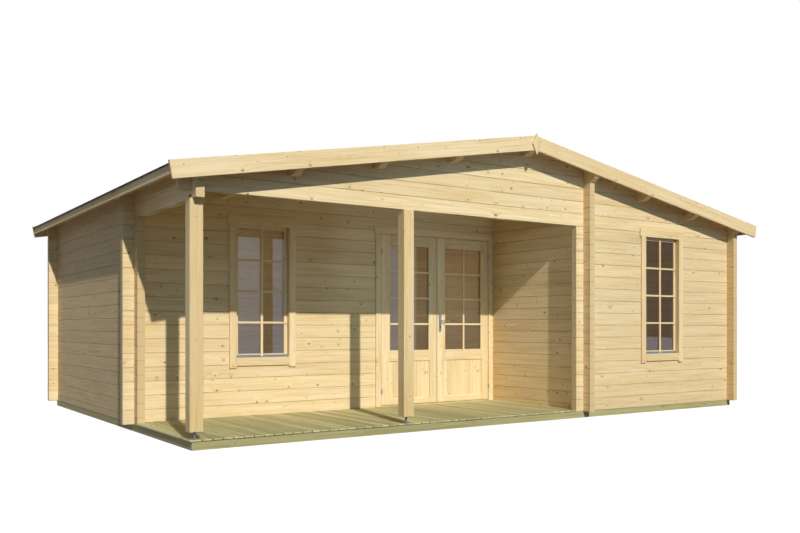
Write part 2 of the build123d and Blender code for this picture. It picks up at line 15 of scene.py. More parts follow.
import bpy
import numpy as np
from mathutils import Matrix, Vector


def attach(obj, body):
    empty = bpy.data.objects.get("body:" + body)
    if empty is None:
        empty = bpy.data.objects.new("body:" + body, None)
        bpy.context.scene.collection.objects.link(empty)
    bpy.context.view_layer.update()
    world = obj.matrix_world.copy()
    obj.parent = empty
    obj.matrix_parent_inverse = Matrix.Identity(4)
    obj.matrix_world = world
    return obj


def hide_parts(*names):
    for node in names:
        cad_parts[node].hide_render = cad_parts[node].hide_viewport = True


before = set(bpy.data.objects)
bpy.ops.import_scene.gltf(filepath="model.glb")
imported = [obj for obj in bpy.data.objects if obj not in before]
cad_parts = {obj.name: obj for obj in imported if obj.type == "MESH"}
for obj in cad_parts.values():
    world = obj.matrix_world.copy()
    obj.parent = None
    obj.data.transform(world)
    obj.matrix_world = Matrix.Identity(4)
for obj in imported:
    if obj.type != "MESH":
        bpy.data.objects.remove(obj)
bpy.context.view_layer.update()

LOG = logging.getLogger("log_bungalow")
GRAIN_MAP = "grain"
BOARD_STEP = 20.0
Socket = bpy.types.NodeSocket
Colour = tuple[float, float, float]
Span = tuple[float, float]
Place = tuple[float, float, float]

# Width of the cut on the edges of casing and deck boards
EASED = 0.0025
# How much depth counts as length across the grain, so that faces that meet differ
DEPTH_SHARE = 0.9
POST_DEPTH_SHARE = 1.3


class Grain(Enum):
    """Ways that the grain of a piece of wood can run."""

    ALONG_FRONT = "along the front"
    FRONT_TO_BACK = "front to back"
    UPRIGHT = "upright"
    DOWN_SLOPE = "down the roof slope"
    BY_MAP = "by the piece's grain map"


class Body(Enum):
    """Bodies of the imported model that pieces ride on."""

    HOUSE = "house"
    LEFT_DOOR = "left_door"
    RIGHT_DOOR = "right_door"
    LEVER = "lever"


class Slot(Enum):
    """Material slots of the record."""

    JOINERY = "pine_joinery"
    ROOF_BOARDS = "roof_boards"
    TREATED = "treated_timber"
    FELT = "roof_felt"
    DARK_STEEL = "dark_steel"
    DRIP = "drip_strip"
    STEEL = "steel"
    GLASS = "glass"


@dataclass(frozen=True)
class House:
    """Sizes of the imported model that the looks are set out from."""

    half_width: float = 3.445
    porch_y: float = -0.920
    log_height: float = 0.135
    log_thickness: float = 0.070
    wall_foot_z: float = 0.067
    deck_left_x: float = -3.441
    deck_right_x: float = 0.870
    deck_front_y: float = -2.526
    deck_back_y: float = -0.922
    deck_top_z: float = 0.086
    deck_pitch: float = 0.088
    slope: float = 0.18076
    ridge_underside_z: float = 2.89162
    ridge_top_z: float = 2.939025
    boards_top_z: float = 2.911944
    eave_inner_x: float = 3.654
    trim_face_x: float = 3.672
    felt_edge_x: float = 3.682
    eave_x: float = 3.690
    roof_half_depth: float = 2.718
    barge_width: float = 0.146
    barge_thickness: float = 0.032
    board_thickness: float = 0.020
    felt_thickness: float = 0.005

    @property
    def roof_angle(self) -> float:
        """Angle of the roof to the ground, in radians."""
        return math.atan(self.slope)


HOUSE = House()


class Graph:
    """The node tree of one material, round a single Principled shader."""

    def __init__(self, name: str) -> None:
        """Starts the tree with the shader joined to the output.

        Args:
            name: The material's name.

        Returns:
            None.
        """
        self.material = bpy.data.materials.new(name)
        self.material.use_nodes = True
        self.tree = self.material.node_tree
        self.tree.nodes.clear()
        self.shader = self.node("ShaderNodeBsdfPrincipled")
        output = self.node("ShaderNodeOutputMaterial")
        self.tree.links.new(self.shader.outputs["BSDF"], output.inputs["Surface"])

    def node(self, kind: str, **settings: object) -> bpy.types.Node:
        """Adds a node.

        Args:
            kind: The node's type.
            settings: Properties to set on it.

        Returns:
            The new node.
        """
        made = self.tree.nodes.new(kind)
        for key, value in settings.items():
            setattr(made, key, value)
        return made

    def feed(self, target: Socket, value: object) -> None:
        """Links a socket into another, or sets a plain value on it.

        Args:
            target: The socket to feed.
            value: A socket, a number or a tuple of numbers.

        Returns:
            None.
        """
        if isinstance(value, bpy.types.NodeSocket):
            self.tree.links.new(value, target)
        else:
            target.default_value = value

    def math(self, operation: str, *values: object) -> Socket:
        """Works out a sum on numbers that differ over the surface.

        Args:
            operation: The Math node's operation.
            values: Up to three sockets or numbers.

        Returns:
            The result.
        """
        made = self.node("ShaderNodeMath", operation=operation)
        for target, value in zip(made.inputs, values):
            self.feed(target, value)
        return made.outputs[0]

    def smooth(self, value: Socket, low: object, high: object) -> Socket:
        """Eases from 0 at one value to 1 at another.

        Args:
            value: What is measured.
            low: Where the result is 0.
            high: Where the result is 1.

        Returns:
            The share from 0 to 1.
        """
        made = self.node("ShaderNodeMapRange", interpolation_type="SMOOTHSTEP")
        for key, given in (("Value", value), ("From Min", low), ("From Max", high)):
            self.feed(made.inputs[key], given)
        return made.outputs[0]

    def combine(self, x: object, y: object, z: object = 0.0) -> Socket:
        """Puts three numbers into a vector.

        Args:
            x: First part.
            y: Second part.
            z: Third part.

        Returns:
            The vector.
        """
        made = self.node("ShaderNodeCombineXYZ")
        for target, value in zip(made.inputs, (x, y, z)):
            self.feed(target, value)
        return made.outputs[0]

    def split(self, vector: Socket) -> list[Socket]:
        """Takes a vector apart.

        Args:
            vector: The vector.

        Returns:
            Its three parts.
        """
        made = self.node("ShaderNodeSeparateXYZ")
        self.feed(made.inputs[0], vector)
        return list(made.outputs)

    def noise(self, vector: Socket, scale: float, detail: float, roughness: float = 0.5) -> Socket:
        """Reads smooth noise.

        Args:
            vector: Where it is read.
            scale: How close its waves are.
            detail: Number of finer layers.
            roughness: Strength of the finer layers.

        Returns:
            The noise, about 0.5 on average.
        """
        made = self.node("ShaderNodeTexNoise", noise_dimensions="3D")
        self.feed(made.inputs["Vector"], vector)
        for key, value in (("Scale", scale), ("Detail", detail), ("Roughness", roughness)):
            made.inputs[key].default_value = value
        return made.outputs[0]

    def chance(self, vector: Socket) -> list[Socket]:
        """Reads random numbers that are the same wherever the vector is.

        Args:
            vector: What they depend on.

        Returns:
            Three random numbers from 0 to 1.
        """
        made = self.node("ShaderNodeTexWhiteNoise", noise_dimensions="3D")
        self.feed(made.inputs["Vector"], vector)
        return self.split(made.outputs["Color"])

    def cells(self, vector: Socket, size: float) -> tuple[Socket, list[Socket]]:
        """Scatters points, one to a cell.

        Args:
            vector: Where it is read; its third part is left out.
            size: Width of a cell.

        Returns:
            The distance to the nearest point, in units of a cell, and that point's three random numbers.
        """
        made = self.node("ShaderNodeTexVoronoi", voronoi_dimensions="2D")
        self.feed(made.inputs["Vector"], vector)
        made.inputs["Scale"].default_value = 1.0 / size
        return made.outputs["Distance"], self.split(made.outputs["Color"])

    def blend(self, share: object, first: object, second: object, mode: str = "MIX") -> Socket:
        """Mixes two colours.

        Args:
            share: How much of the second is taken.
            first: A colour socket or a colour.
            second: A colour socket or a colour.
            mode: The way they are mixed.

        Returns:
            The mixed colour.
        """
        made = self.node("ShaderNodeMix", data_type="RGBA", blend_type=mode)
        for target, value in zip((made.inputs[0], made.inputs[6], made.inputs[7]), (share, first, second)):
            given = (*value, 1.0) if isinstance(value, tuple) else value
            self.feed(target, given)
        return made.outputs[2]

    def ramp(self, share: Socket, stops: list[tuple[float, Colour]]) -> Socket:
        """Turns a share into a colour.

        Args:
            share: The share from 0 to 1.
            stops: Places and the colours there, in order.

        Returns:
            The colour.
        """
        made = self.node("ShaderNodeValToRGB")
        elements = made.color_ramp.elements
        for spare, (place, colour) in enumerate(stops):
            element = elements[spare] if spare < 2 else elements.new(place)
            element.position = place
            element.color = (*colour, 1.0)
        self.feed(made.inputs[0], share)
        return made.outputs[0]

    def bump(self, height: Socket, strength: float, depth: float) -> None:
        """Gives the shader a fine relief.

        Args:
            height: Height from 0 to 1.
            strength: Share of the relief that shows.
            depth: Depth of the relief.

        Returns:
            None.
        """
        made = self.node("ShaderNodeBump")
        made.inputs["Strength"].default_value = strength
        made.inputs["Distance"].default_value = depth
        self.feed(made.inputs["Height"], height)
        self.feed(self.shader.inputs["Normal"], made.outputs[0])

    def place(self) -> list[Socket]:
        """Reads the place on the object as its three parts."""
        return self.split(self.node("ShaderNodeTexCoord").outputs["Object"])

    def set(self, **values: object) -> bpy.types.Material:
        """Sets or feeds the shader's sockets.

        Args:
            values: Socket names with _ for a space, and what goes in.

        Returns:
            The material.
        """
        for key, value in values.items():
            target = self.shader.inputs[key.replace("_", " ")]
            self.feed(target, (*value, 1.0) if isinstance(value, tuple) and len(value) == 3 else value)
        return self.material


@dataclass(frozen=True)
class Rows:
    """Logs or boards side by side in one node: each gets its own figure, with a thin line of painted shade
    between them where the groove or gap lies.
    """

    axis: int
    pitch: float
    first: float
    line: float = 0.0024
    dark: float = 0.6


@dataclass(frozen=True)
class EndGrain:
    """Where the ends of a wall's logs are, so that they show growth rings."""

    axis: int
    across_axis: int
    centre: float
    pale: Colour = (0.72, 0.54, 0.285)
    deep: Colour = (0.58, 0.395, 0.18)
    ring: float = 0.0075


@dataclass(frozen=True)
class WoodFinish:
    """Planed softwood: streaks drawn out along the grain, knots that the streaks bend round, and rows."""

    name: str
    grain: Grain
    rows: Rows | None = None
    seed: float = 0.0
    pale: Colour = (0.865, 0.695, 0.43)
    middle: Colour = (0.80, 0.62, 0.35)
    deep: Colour = (0.70, 0.49, 0.22)
    amber: Colour = (0.80, 0.55, 0.205)
    knot: Colour = (0.17, 0.07, 0.035)
    knot_pale: Colour = (0.50, 0.27, 0.11)
    halo: Colour = (0.62, 0.39, 0.16)
    # Colour of the painted shade line in the grooves and gaps between logs and boards
    joint_shade: Colour = (0.15, 0.125, 0.075)
    tone: float = 0.09
    knot_cell: float = 0.15
    knot_share: float = 0.62
    knot_size: float = 0.0095
    ends: EndGrain | None = None
    # Brightness factor on the whole finish; the walls use it as painted light and shade, darker on the left
    # side wall and its eave beam, a little darker on the front wall and a little lighter on the front gable
    share: float = 1.0

    def _ways(self, g: Graph) -> tuple[Socket, Socket, Socket, Socket | None]:
        """Finds the directions of the grain.

        Args:
            g: The material's tree.

        Returns:
            Length along the grain, length across it, the number of the log or board counted with its share,
            and how close the nearest painted shade line between rows is, from 0 to 1, or None.
        """
        if self.grain is Grain.BY_MAP:
            along, across, _ = g.split(g.node("ShaderNodeUVMap", uv_map=GRAIN_MAP).outputs[0])
            return along, across, g.math("DIVIDE", g.math("ADD", along, BOARD_STEP / 4), BOARD_STEP), None
        x, y, z = places = g.place()
        if self.grain is Grain.ALONG_FRONT:
            along, across = x, g.math("MULTIPLY_ADD", y, DEPTH_SHARE, z)
        elif self.grain is Grain.FRONT_TO_BACK:
            along, across = y, g.math("MULTIPLY_ADD", x, DEPTH_SHARE, z)
        elif self.grain is Grain.UPRIGHT:
            along, across = z, g.math("MULTIPLY_ADD", y, POST_DEPTH_SHARE, x)
        else:
            out = g.math("ABSOLUTE", x)
            cosine, sine = math.cos(HOUSE.roof_angle), math.sin(HOUSE.roof_angle)
            along = g.math("MULTIPLY_ADD", out, cosine, g.math("MULTIPLY", z, -sine))
            through = g.math("MULTIPLY_ADD", z, cosine, g.math("MULTIPLY", y, DEPTH_SHARE))
            across = g.math("MULTIPLY_ADD", out, sine, through)
        if self.rows is None:
            return along, across, g.math("ADD", g.math("SIGN", x), 0.25), None
        count = g.math("DIVIDE", g.math("SUBTRACT", places[self.rows.axis], self.rows.first), self.rows.pitch)
        edge = self.rows.line / self.rows.pitch
        near = g.math("PINGPONG", count, 0.5)
        return along, across, count, g.smooth(near, edge * 1.7, edge * 0.4)

    def _ring_face(self, g: Graph, count: Socket, luck: Socket, wood: Socket) -> Socket:
        """Draws growth rings on the ends of the logs.

        The rings are lengths from a pith that lies at a different place in every log, warped by noise.

        Args:
            g: The material's tree.
            count: The number of the log counted with its share.
            luck: A random number of the log.
            wood: The colour of its long faces.

        Returns:
            The colour with the ends drawn in.
        """
        coordinates = g.node("ShaderNodeTexCoord")
        facing = g.math("ABSOLUTE", g.split(coordinates.outputs["Normal"])[self.ends.axis])
        places = g.split(coordinates.outputs["Object"])
        aside = g.math("SUBTRACT", places[self.ends.across_axis], self.ends.centre)
        aside = g.math("MULTIPLY_ADD", luck, 0.09, g.math("SUBTRACT", aside, 0.045))
        up = g.math("MULTIPLY", g.math("SUBTRACT", g.math("FRACT", count), 0.42), self.rows.pitch)
        warp = g.noise(coordinates.outputs["Object"], 26.0, 2.0)
        far = g.math("SQRT", g.math("MULTIPLY_ADD", aside, aside, g.math("MULTIPLY", up, up)))
        turns = g.math("DIVIDE", g.math("MULTIPLY_ADD", warp, 0.008, far), self.ends.ring)
        shade = g.math("POWER", g.math("FRACT", turns), 2.0)
        ends = g.blend(shade, self.ends.pale, self.ends.deep)
        return g.blend(g.smooth(facing, 0.6, 0.9), wood, ends)

    def material(self) -> bpy.types.Material:
        """Builds the finish.

        Returns:
            The material.
        """
        g = Graph(self.name)
        along, across, count, line = self._ways(g)
        luck, hue, lift = g.chance(g.combine(g.math("FLOOR", count), self.seed, 0.5))
        moved = g.math("MULTIPLY_ADD", luck, 31.7, along)
        flat = g.combine(g.math("MULTIPLY", moved, 0.8), across)
        distance, (drawn, size, dark) = g.cells(flat, self.knot_cell)
        reach = g.math("MULTIPLY", distance, self.knot_cell)
        kept = g.math("GREATER_THAN", drawn, 1.0 - self.knot_share)
        radius = g.math("MULTIPLY_ADD", g.math("POWER", size, 3.0), self.knot_size, 0.0034)
        wide = g.math("MULTIPLY", radius, 2.4)
        bulge = g.math("MULTIPLY", g.smooth(reach, g.math("MULTIPLY", radius, 6.5), 0.0), kept)
        core = g.math("MULTIPLY", g.smooth(reach, radius, g.math("MULTIPLY", radius, 0.55)), kept)
        ring = g.math("MULTIPLY", g.smooth(reach, wide, radius), kept)
        bent = g.math("MULTIPLY_ADD", across, 52.0, g.math("MULTIPLY", bulge, 1.6))
        streak = g.noise(g.combine(g.math("MULTIPLY", moved, 1.7), bent, luck), 1.0, 4.0, 0.62)
        fine_across = g.math("MULTIPLY_ADD", across, 250.0, g.math("MULTIPLY", bulge, 9.0))
        fine = g.noise(g.combine(g.math("MULTIPLY", moved, 4.5), fine_across, lift), 1.0, 2.0)
        broad_across = g.math("MULTIPLY_ADD", across, 13.0, g.math("MULTIPLY", bulge, 1.2))
        broad = g.noise(g.combine(g.math("MULTIPLY", moved, 0.9), broad_across, hue), 1.0, 3.0)
        figure = g.math("MULTIPLY_ADD", fine, 0.22, g.math("MULTIPLY", broad, 0.28))
        figure = g.math("MULTIPLY_ADD", streak, 0.5, figure)
        wood = g.ramp(figure, [(0.38, self.pale), (0.5, self.middle), (0.63, self.deep)])
        veins = g.noise(g.combine(g.math("MULTIPLY", moved, 1.2), g.math("ADD", bent, 77.0), hue), 0.7, 3.0)
        wood = g.blend(g.math("MULTIPLY", g.smooth(veins, 0.56, 0.74), 0.55), wood, self.amber)
        wood = g.blend(g.math("MULTIPLY", hue, 0.22), wood, self.deep)
        # Random tone of each log times the brightness factor, which on some walls is painted light and shade
        bright = g.math("MULTIPLY_ADD", lift, self.tone, self.share - self.tone / 2)
        wood = g.blend(1.0, wood, g.combine(bright, bright, bright), "MULTIPLY")
        wood = g.blend(g.math("MULTIPLY", ring, g.math("MULTIPLY_ADD", dark, 0.4, 0.2)), wood, self.halo)
        eye = g.blend(dark, self.knot_pale, self.knot)
        wood = g.blend(g.math("MULTIPLY", core, g.math("MULTIPLY_ADD", size, 0.3, 0.65)), wood, eye)
        if self.ends is not None:
            wood = self._ring_face(g, count, luck, wood)
        # Painted shade: a thin dark line where the groove between logs or the gap between boards lies, broken
        # up along its length by noise
        if line is not None:
            seam = g.math("FLOOR", g.math("ADD", count, 0.5))
            open_share = g.noise(g.combine(g.math("MULTIPLY", moved, 2.3), seam, 0.0), 1.0, 3.0)
            share = g.math("MULTIPLY", line, g.smooth(open_share, 0.3, 0.62))
            wood = g.blend(g.math("MULTIPLY", share, self.rows.dark), wood, self.joint_shade)
        g.bump(figure, 0.25, 0.002)
        rough = g.math("MULTIPLY_ADD", streak, 0.2, 0.52)
        return g.set(Base_Color=wood, Roughness=rough, Specular_IOR_Level=0.2)


@dataclass(frozen=True)
class FeltFinish:
    """Roofing felt faced with mineral granules, a little paler where water has run down it."""

    name: str
    dark: Colour = (0.018, 0.018, 0.02)
    pale: Colour = (0.06, 0.06, 0.065)

    def material(self) -> bpy.types.Material:
        """Builds the finish.

        Returns:
            The material.
        """
        g = Graph(self.name)
        x, y, z = g.place()
        where = g.combine(x, y, z)
        granules = g.noise(where, 420.0, 2.0, 0.7)
        runs = g.noise(g.combine(g.math("MULTIPLY", x, 0.7), g.math("MULTIPLY", y, 6.0), z), 1.0, 3.0)
        shade = g.math("MULTIPLY_ADD", granules, 0.7, g.math("MULTIPLY", runs, 0.3))
        colour = g.ramp(shade, [(0.32, self.dark), (0.7, self.pale)])
        g.bump(granules, 0.5, 0.0015)
        rough = g.math("MULTIPLY_ADD", granules, 0.2, 0.8)
        return g.set(Base_Color=colour, Roughness=rough, Specular_IOR_Level=0.06)


@dataclass(frozen=True)
class MetalFinish:
    """Plain or painted metal with a faint brushed and smudged surface."""

    name: str
    colour: Colour
    worn: Colour
    metallic: float
    rough: float
    brushed: Place = (700.0, 700.0, 40.0)

    def material(self) -> bpy.types.Material:
        """Builds the finish.

        Returns:
            The material.
        """
        g = Graph(self.name)
        x, y, z = g.place()
        where = g.combine(x, y, z)
        drawn = g.combine(*(g.math("MULTIPLY", *pair) for pair in zip((x, y, z), self.brushed)))
        brushed = g.noise(drawn, 1.0, 2.0)
        smudge = g.noise(where, 35.0, 3.0, 0.6)
        share = g.math("MULTIPLY_ADD", brushed, 0.4, g.math("MULTIPLY", smudge, 0.6))
        colour = g.ramp(share, [(0.35, self.colour), (0.7, self.worn)])
        g.bump(brushed, 0.12, 0.0003)
        rough = g.math("MULTIPLY_ADD", share, 0.25, self.rough - 0.12)
        return g.set(Base_Color=colour, Metallic=self.metallic, Roughness=rough)


STEEL = MetalFinish("satin_steel", (0.34, 0.35, 0.38), (0.5, 0.51, 0.54), 0.85, 0.38)
PLATED = MetalFinish("plated_steel", (0.15, 0.155, 0.17), (0.27, 0.275, 0.29), 0.25, 0.5)
STEEL_DARK = MetalFinish("dark_steel_paint", (0.03, 0.032, 0.04), (0.08, 0.085, 0.1), 0.4, 0.45)
DRIP_PAINT = MetalFinish("drip_paint", (0.14, 0.19, 0.22), (0.21, 0.265, 0.295), 0.1, 0.5)


@dataclass(frozen=True)
class GlassFinish:
    """Window glass: dark and clear, with a strong reflection and a trace of dust."""

    name: str
    tint: Colour = (0.05, 0.047, 0.052)
    alpha: float = 0.32
    refraction: float = 2.7
    mirror: Colour = (0.72, 0.84, 1.0)

    def material(self) -> bpy.types.Material:
        """Builds the finish.

        Returns:
            The material.
        """
        g = Graph(self.name)
        x, y, z = g.place()
        dust = g.noise(g.combine(x, y, z), 9.0, 4.0, 0.6)
        rough = g.math("MULTIPLY_ADD", dust, 0.03, 0.005)
        g.bump(g.noise(g.combine(x, y, z), 2.2, 1.0), 0.05, 0.004)
        g.set(Base_Color=self.tint, Alpha=self.alpha, Roughness=rough)
        return g.set(IOR=self.refraction, Specular_Tint=self.mirror)


class MeshBin:
    """Gathers solids into one mesh whose grain map holds lengths along and across the grain."""

    def __init__(self) -> None:
        """Starts with nothing in the mesh."""
        self._points: list[np.ndarray] = []
        self._grain: list[np.ndarray] = []
        self._faces: list[list[int]] = []
        self._count = 0

    def rings(self, rings: np.ndarray, grain: np.ndarray) -> None:
        """Adds a solid of rings joined by quads, with a face over each end.

        Args:
            rings: Points, shaped (stations, points in a ring, 3). They are turned over if the faces would
                look inwards.
            grain: Lengths along and across the grain, shaped (stations, points in a ring, 2).

        Returns:
            None.
        """
        path = rings[1].mean(axis=0) - rings[0].mean(axis=0)
        area = np.cross(rings[1], np.roll(rings[1], -1, axis=0)).sum(axis=0)
        if float(area @ path) < 0.0:
            rings, grain = rings[:, ::-1], grain[:, ::-1]
        stations, around = rings.shape[:2]
        index = np.arange(stations * around).reshape(stations, around) + self._count
        turned = np.roll(index, -1, axis=1)
        quads = np.stack([index[:-1], turned[:-1], turned[1:], index[1:]], axis=-1)
        self._faces += quads.reshape(-1, 4).tolist() + [index[0, ::-1].tolist(), index[-1].tolist()]
        offset = np.array([BOARD_STEP * len(self._points), 0.37 * len(self._points)])
        self._points.append(rings.reshape(-1, 3))
        self._grain.append(grain.reshape(-1, 2) + offset)
        self._count += stations * around

    def turned(
        self, foot: np.ndarray, heights: np.ndarray, radii: np.ndarray, around: int, thread: float = 0.0,
        pitch: float = 1.0, axis: int = 2,
    ) -> None:
        """Adds a solid turned about an axis: circles of given radii at given heights, threaded if asked.

        The thread adds a triangle wave of the height in pitches plus the share of a turn.

        Args:
            foot: Where the axis starts.
            heights: Lengths along the axis.
            radii: Radius at each of them.
            around: Points in a circle.
            thread: Depth of the thread.
            pitch: Rise of the thread in a turn.
            axis: 1 for an axis front to back, 2 for an upright one.

        Returns:
            None.
        """
        share = np.arange(around) / around
        wave = np.abs((heights[:, None] / pitch + share) % 1.0 - 0.5) * 2.0
        out = radii[:, None] - thread * wave
        sides = [out * np.cos(share * math.tau), out * np.sin(share * math.tau)]
        sides.insert(axis, np.broadcast_to(heights[:, None], out.shape))
        rings = foot + np.stack(sides, axis=-1)
        self.rings(rings, np.stack([np.broadcast_to(heights[:, None], out.shape), out * share], axis=-1))

    def board(
        self, start: np.ndarray, along: np.ndarray, across: np.ndarray, size: Place, chamfer: float,
    ) -> None:
        """Adds a straight board: a chamfered oblong section carried along a line and drawn in at both ends.

        Args:
            start: Middle of the end that the board starts from.
            along: Unit direction of its length.
            across: Unit direction of its width.
            size: Length, width and thickness.
            chamfer: Width of the cut on every edge.

        Returns:
            None.
        """
        length, width, thick = size
        through = np.cross(along, across)
        w, t, c = width / 2, thick / 2, chamfer
        section = np.array([
            (w - c, -t), (w, c - t), (w, t - c), (w - c, t), (c - w, t), (-w, t - c), (-w, c - t), (c - w, -t),
        ])
        reach = np.array([0.0, c, length - c, length])
        drawn_in = np.array([1.0, 0.0, 0.0, 1.0])[:, None, None] * c
        sections = np.sign(section) * np.maximum(np.abs(section) - drawn_in, 0.0)
        rings = start + reach[:, None, None] * along
        rings = rings + sections[..., :1] * across + sections[..., 1:] * through
        lengths = np.broadcast_to(reach[:, None], sections.shape[:2])
        self.rings(rings, np.stack([lengths, sections.sum(axis=-1)], axis=-1))

    def plank(self, x: Span, y: Span, z: Span, grain: Grain, chamfer: float = 0.002) -> None:
        """Adds a board that lies square to the axes.

        Args:
            x: From and to along the front.
            y: From and to, front to back.
            z: From and to, up.
            grain: The way its length runs.
            chamfer: Width of the cut on every edge.

        Returns:
            None.
        """
        low, high = np.array([x, y, z]).T
        orders = {Grain.ALONG_FRONT: (0, 2, 1), Grain.FRONT_TO_BACK: (1, 0, 2), Grain.UPRIGHT: (2, 0, 1)}
        order = orders[grain]
        along, across = np.eye(3)[order[0]], np.eye(3)[order[1]]
        size = (high - low)[list(order)]
        start = (low + high) / 2 - along * size[0] / 2
        self.board(start, along, across, tuple(size), chamfer)

    def slab(self, outline: np.ndarray, y: Span, grain: Grain, chamfer: float = 0.002) -> None:
        """Adds a flat piece: an outline seen from the front, carried back, with its rims drawn in.

        Args:
            outline: Places along the front and up, anticlockwise seen from the front.
            y: Its front and back.
            grain: Upright or along the front.
            chamfer: Width of the cut round both faces.

        Returns:
            None.
        """
        ahead = np.roll(outline, -1, axis=0) - outline
        ahead = ahead / np.linalg.norm(ahead, axis=1, keepdims=True)
        inward = np.stack([-ahead[:, 1], ahead[:, 0]], axis=1)
        before = np.roll(inward, 1, axis=0)
        share = 1.0 + (inward * before).sum(axis=1, keepdims=True)
        inset = outline + (inward + before) / share * chamfer
        rims = np.stack([inset, outline, outline, inset])
        depth = np.array([y[1], y[1] - chamfer, y[0] + chamfer, y[0]])
        depths = np.broadcast_to(depth[:, None], rims.shape[:2])
        rings = np.stack([rims[..., 0], depths, rims[..., 1]], axis=-1)
        along, across = (1, 0) if grain is Grain.UPRIGHT else (0, 1)
        self.rings(rings, np.stack([rims[..., along], rims[..., across] + depths], axis=-1))

    def build(
        self, name: str, body: Body, slot: Slot, finish: bpy.types.Material, stands_for: tuple[str, ...] = (),
        smooth: bool = False,
    ) -> bpy.types.Object:
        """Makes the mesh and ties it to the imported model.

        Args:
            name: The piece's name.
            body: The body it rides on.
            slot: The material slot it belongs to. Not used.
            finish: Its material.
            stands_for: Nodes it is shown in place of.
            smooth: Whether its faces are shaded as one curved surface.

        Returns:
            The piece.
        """
        points, grain = np.concatenate(self._points), np.concatenate(self._grain)
        mesh = bpy.data.meshes.new(name)
        mesh.from_pydata(points.tolist(), [], self._faces)
        corners = np.zeros(len(mesh.loops), dtype=np.int32)
        mesh.loops.foreach_get("vertex_index", corners)
        mesh.uv_layers.new(name=GRAIN_MAP).data.foreach_set("uv", grain[corners].astype(np.float32).ravel())
        mesh.polygons.foreach_set("use_smooth", np.full(len(mesh.polygons), smooth))
        mesh.materials.append(finish)
        mesh.update()
        piece = bpy.data.objects.new(name, mesh)
        bpy.context.scene.collection.objects.link(piece)
        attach(piece, body.value)
        if stands_for:
            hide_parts(*stands_for)
        LOG.info("%s: %d faces", name, len(mesh.polygons))
        return piece


def dress(nodes: list[str], finish: bpy.types.Material) -> None:
    """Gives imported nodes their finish.

    Args:
        nodes: Names of the nodes.
        finish: The material.

    Returns:
        None.
    """
    for node in nodes:
        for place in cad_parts[node].material_slots:
            place.material = finish
        LOG.info("%s: dressed in %s", node, finish.name)


@dataclass
class LogWalls:
    """The walls, purlins, posts and floors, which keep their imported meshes."""

    # The rows carry a painted shade line at every log joint
    courses_x: Rows = Rows(axis=2, pitch=HOUSE.log_height, first=HOUSE.wall_foot_z)
    courses_y: Rows = Rows(axis=2, pitch=HOUSE.log_height, first=HOUSE.wall_foot_z + HOUSE.log_height / 2)
    # The last number is each wall's brightness factor, painted light and shade: the front wall a little darker
    # and the front gable a little lighter for the light they get
    along_front: tuple[tuple[str, float, float], ...] = (
        ("back_wall", 2.495, 1.0), ("front_wall", -2.495, 0.965), ("front_gable", -2.495, 1.02),
        ("porch_wall_left", -0.885, 1.0), ("porch_wall_right", -0.885, 1.0), ("porch_gable", -0.885, 1.0),
    )
    # The last number is the brightness factor; 0.88 and 0.94 darken the left side wall and its eave beam as
    # painted shade
    front_to_back: tuple[tuple[str, float, float], ...] = (
        ("left_side_wall", -3.41, 0.88), ("left_eave_beam", -3.41, 0.94), ("right_side_wall", 3.41, 1.0),
        ("inner_wall", 0.907, 1.0),
    )

    def dress(self) -> None:
        """Gives every wall logs of its own and every other timber its grain.

        Returns:
            None.
        """
        for seed, (node, centre, share) in enumerate(self.along_front):
            name, ends = f"logs_{node}", EndGrain(0, 1, centre)
            logs = WoodFinish(name, Grain.ALONG_FRONT, self.courses_x, seed + 0.3, ends=ends, share=share)
            dress([node], logs.material())
        for seed, (node, centre, share) in enumerate(self.front_to_back):
            name, ends = f"logs_{node}", EndGrain(1, 0, centre)
            logs = WoodFinish(name, Grain.FRONT_TO_BACK, self.courses_y, seed + 40.3, ends=ends, share=share)
            dress([node], logs.material())
        purlins = WoodFinish("purlin_pine", Grain.FRONT_TO_BACK, None, 60.0)
        dress(["ridge_purlin", "purlins"], purlins.material())
        posts = WoodFinish(
            "post_pine", Grain.UPRIGHT, None, 61.0, pale=(0.81, 0.625, 0.355), middle=(0.75, 0.56, 0.29),
            deep=(0.65, 0.44, 0.18), knot_share=0.4,
        )
        dress(["porch_post_left", "porch_post_middle"], posts.material())
        # Painted shade in the gaps between the floor boards
        floor_rows = Rows(axis=1, pitch=0.112, first=-2.46, line=0.0015, dark=0.85)
        floors = WoodFinish("floor_pine", Grain.ALONG_FRONT, floor_rows, 62.0)
        dress(["main_floor", "wing_floor"], floors.material())


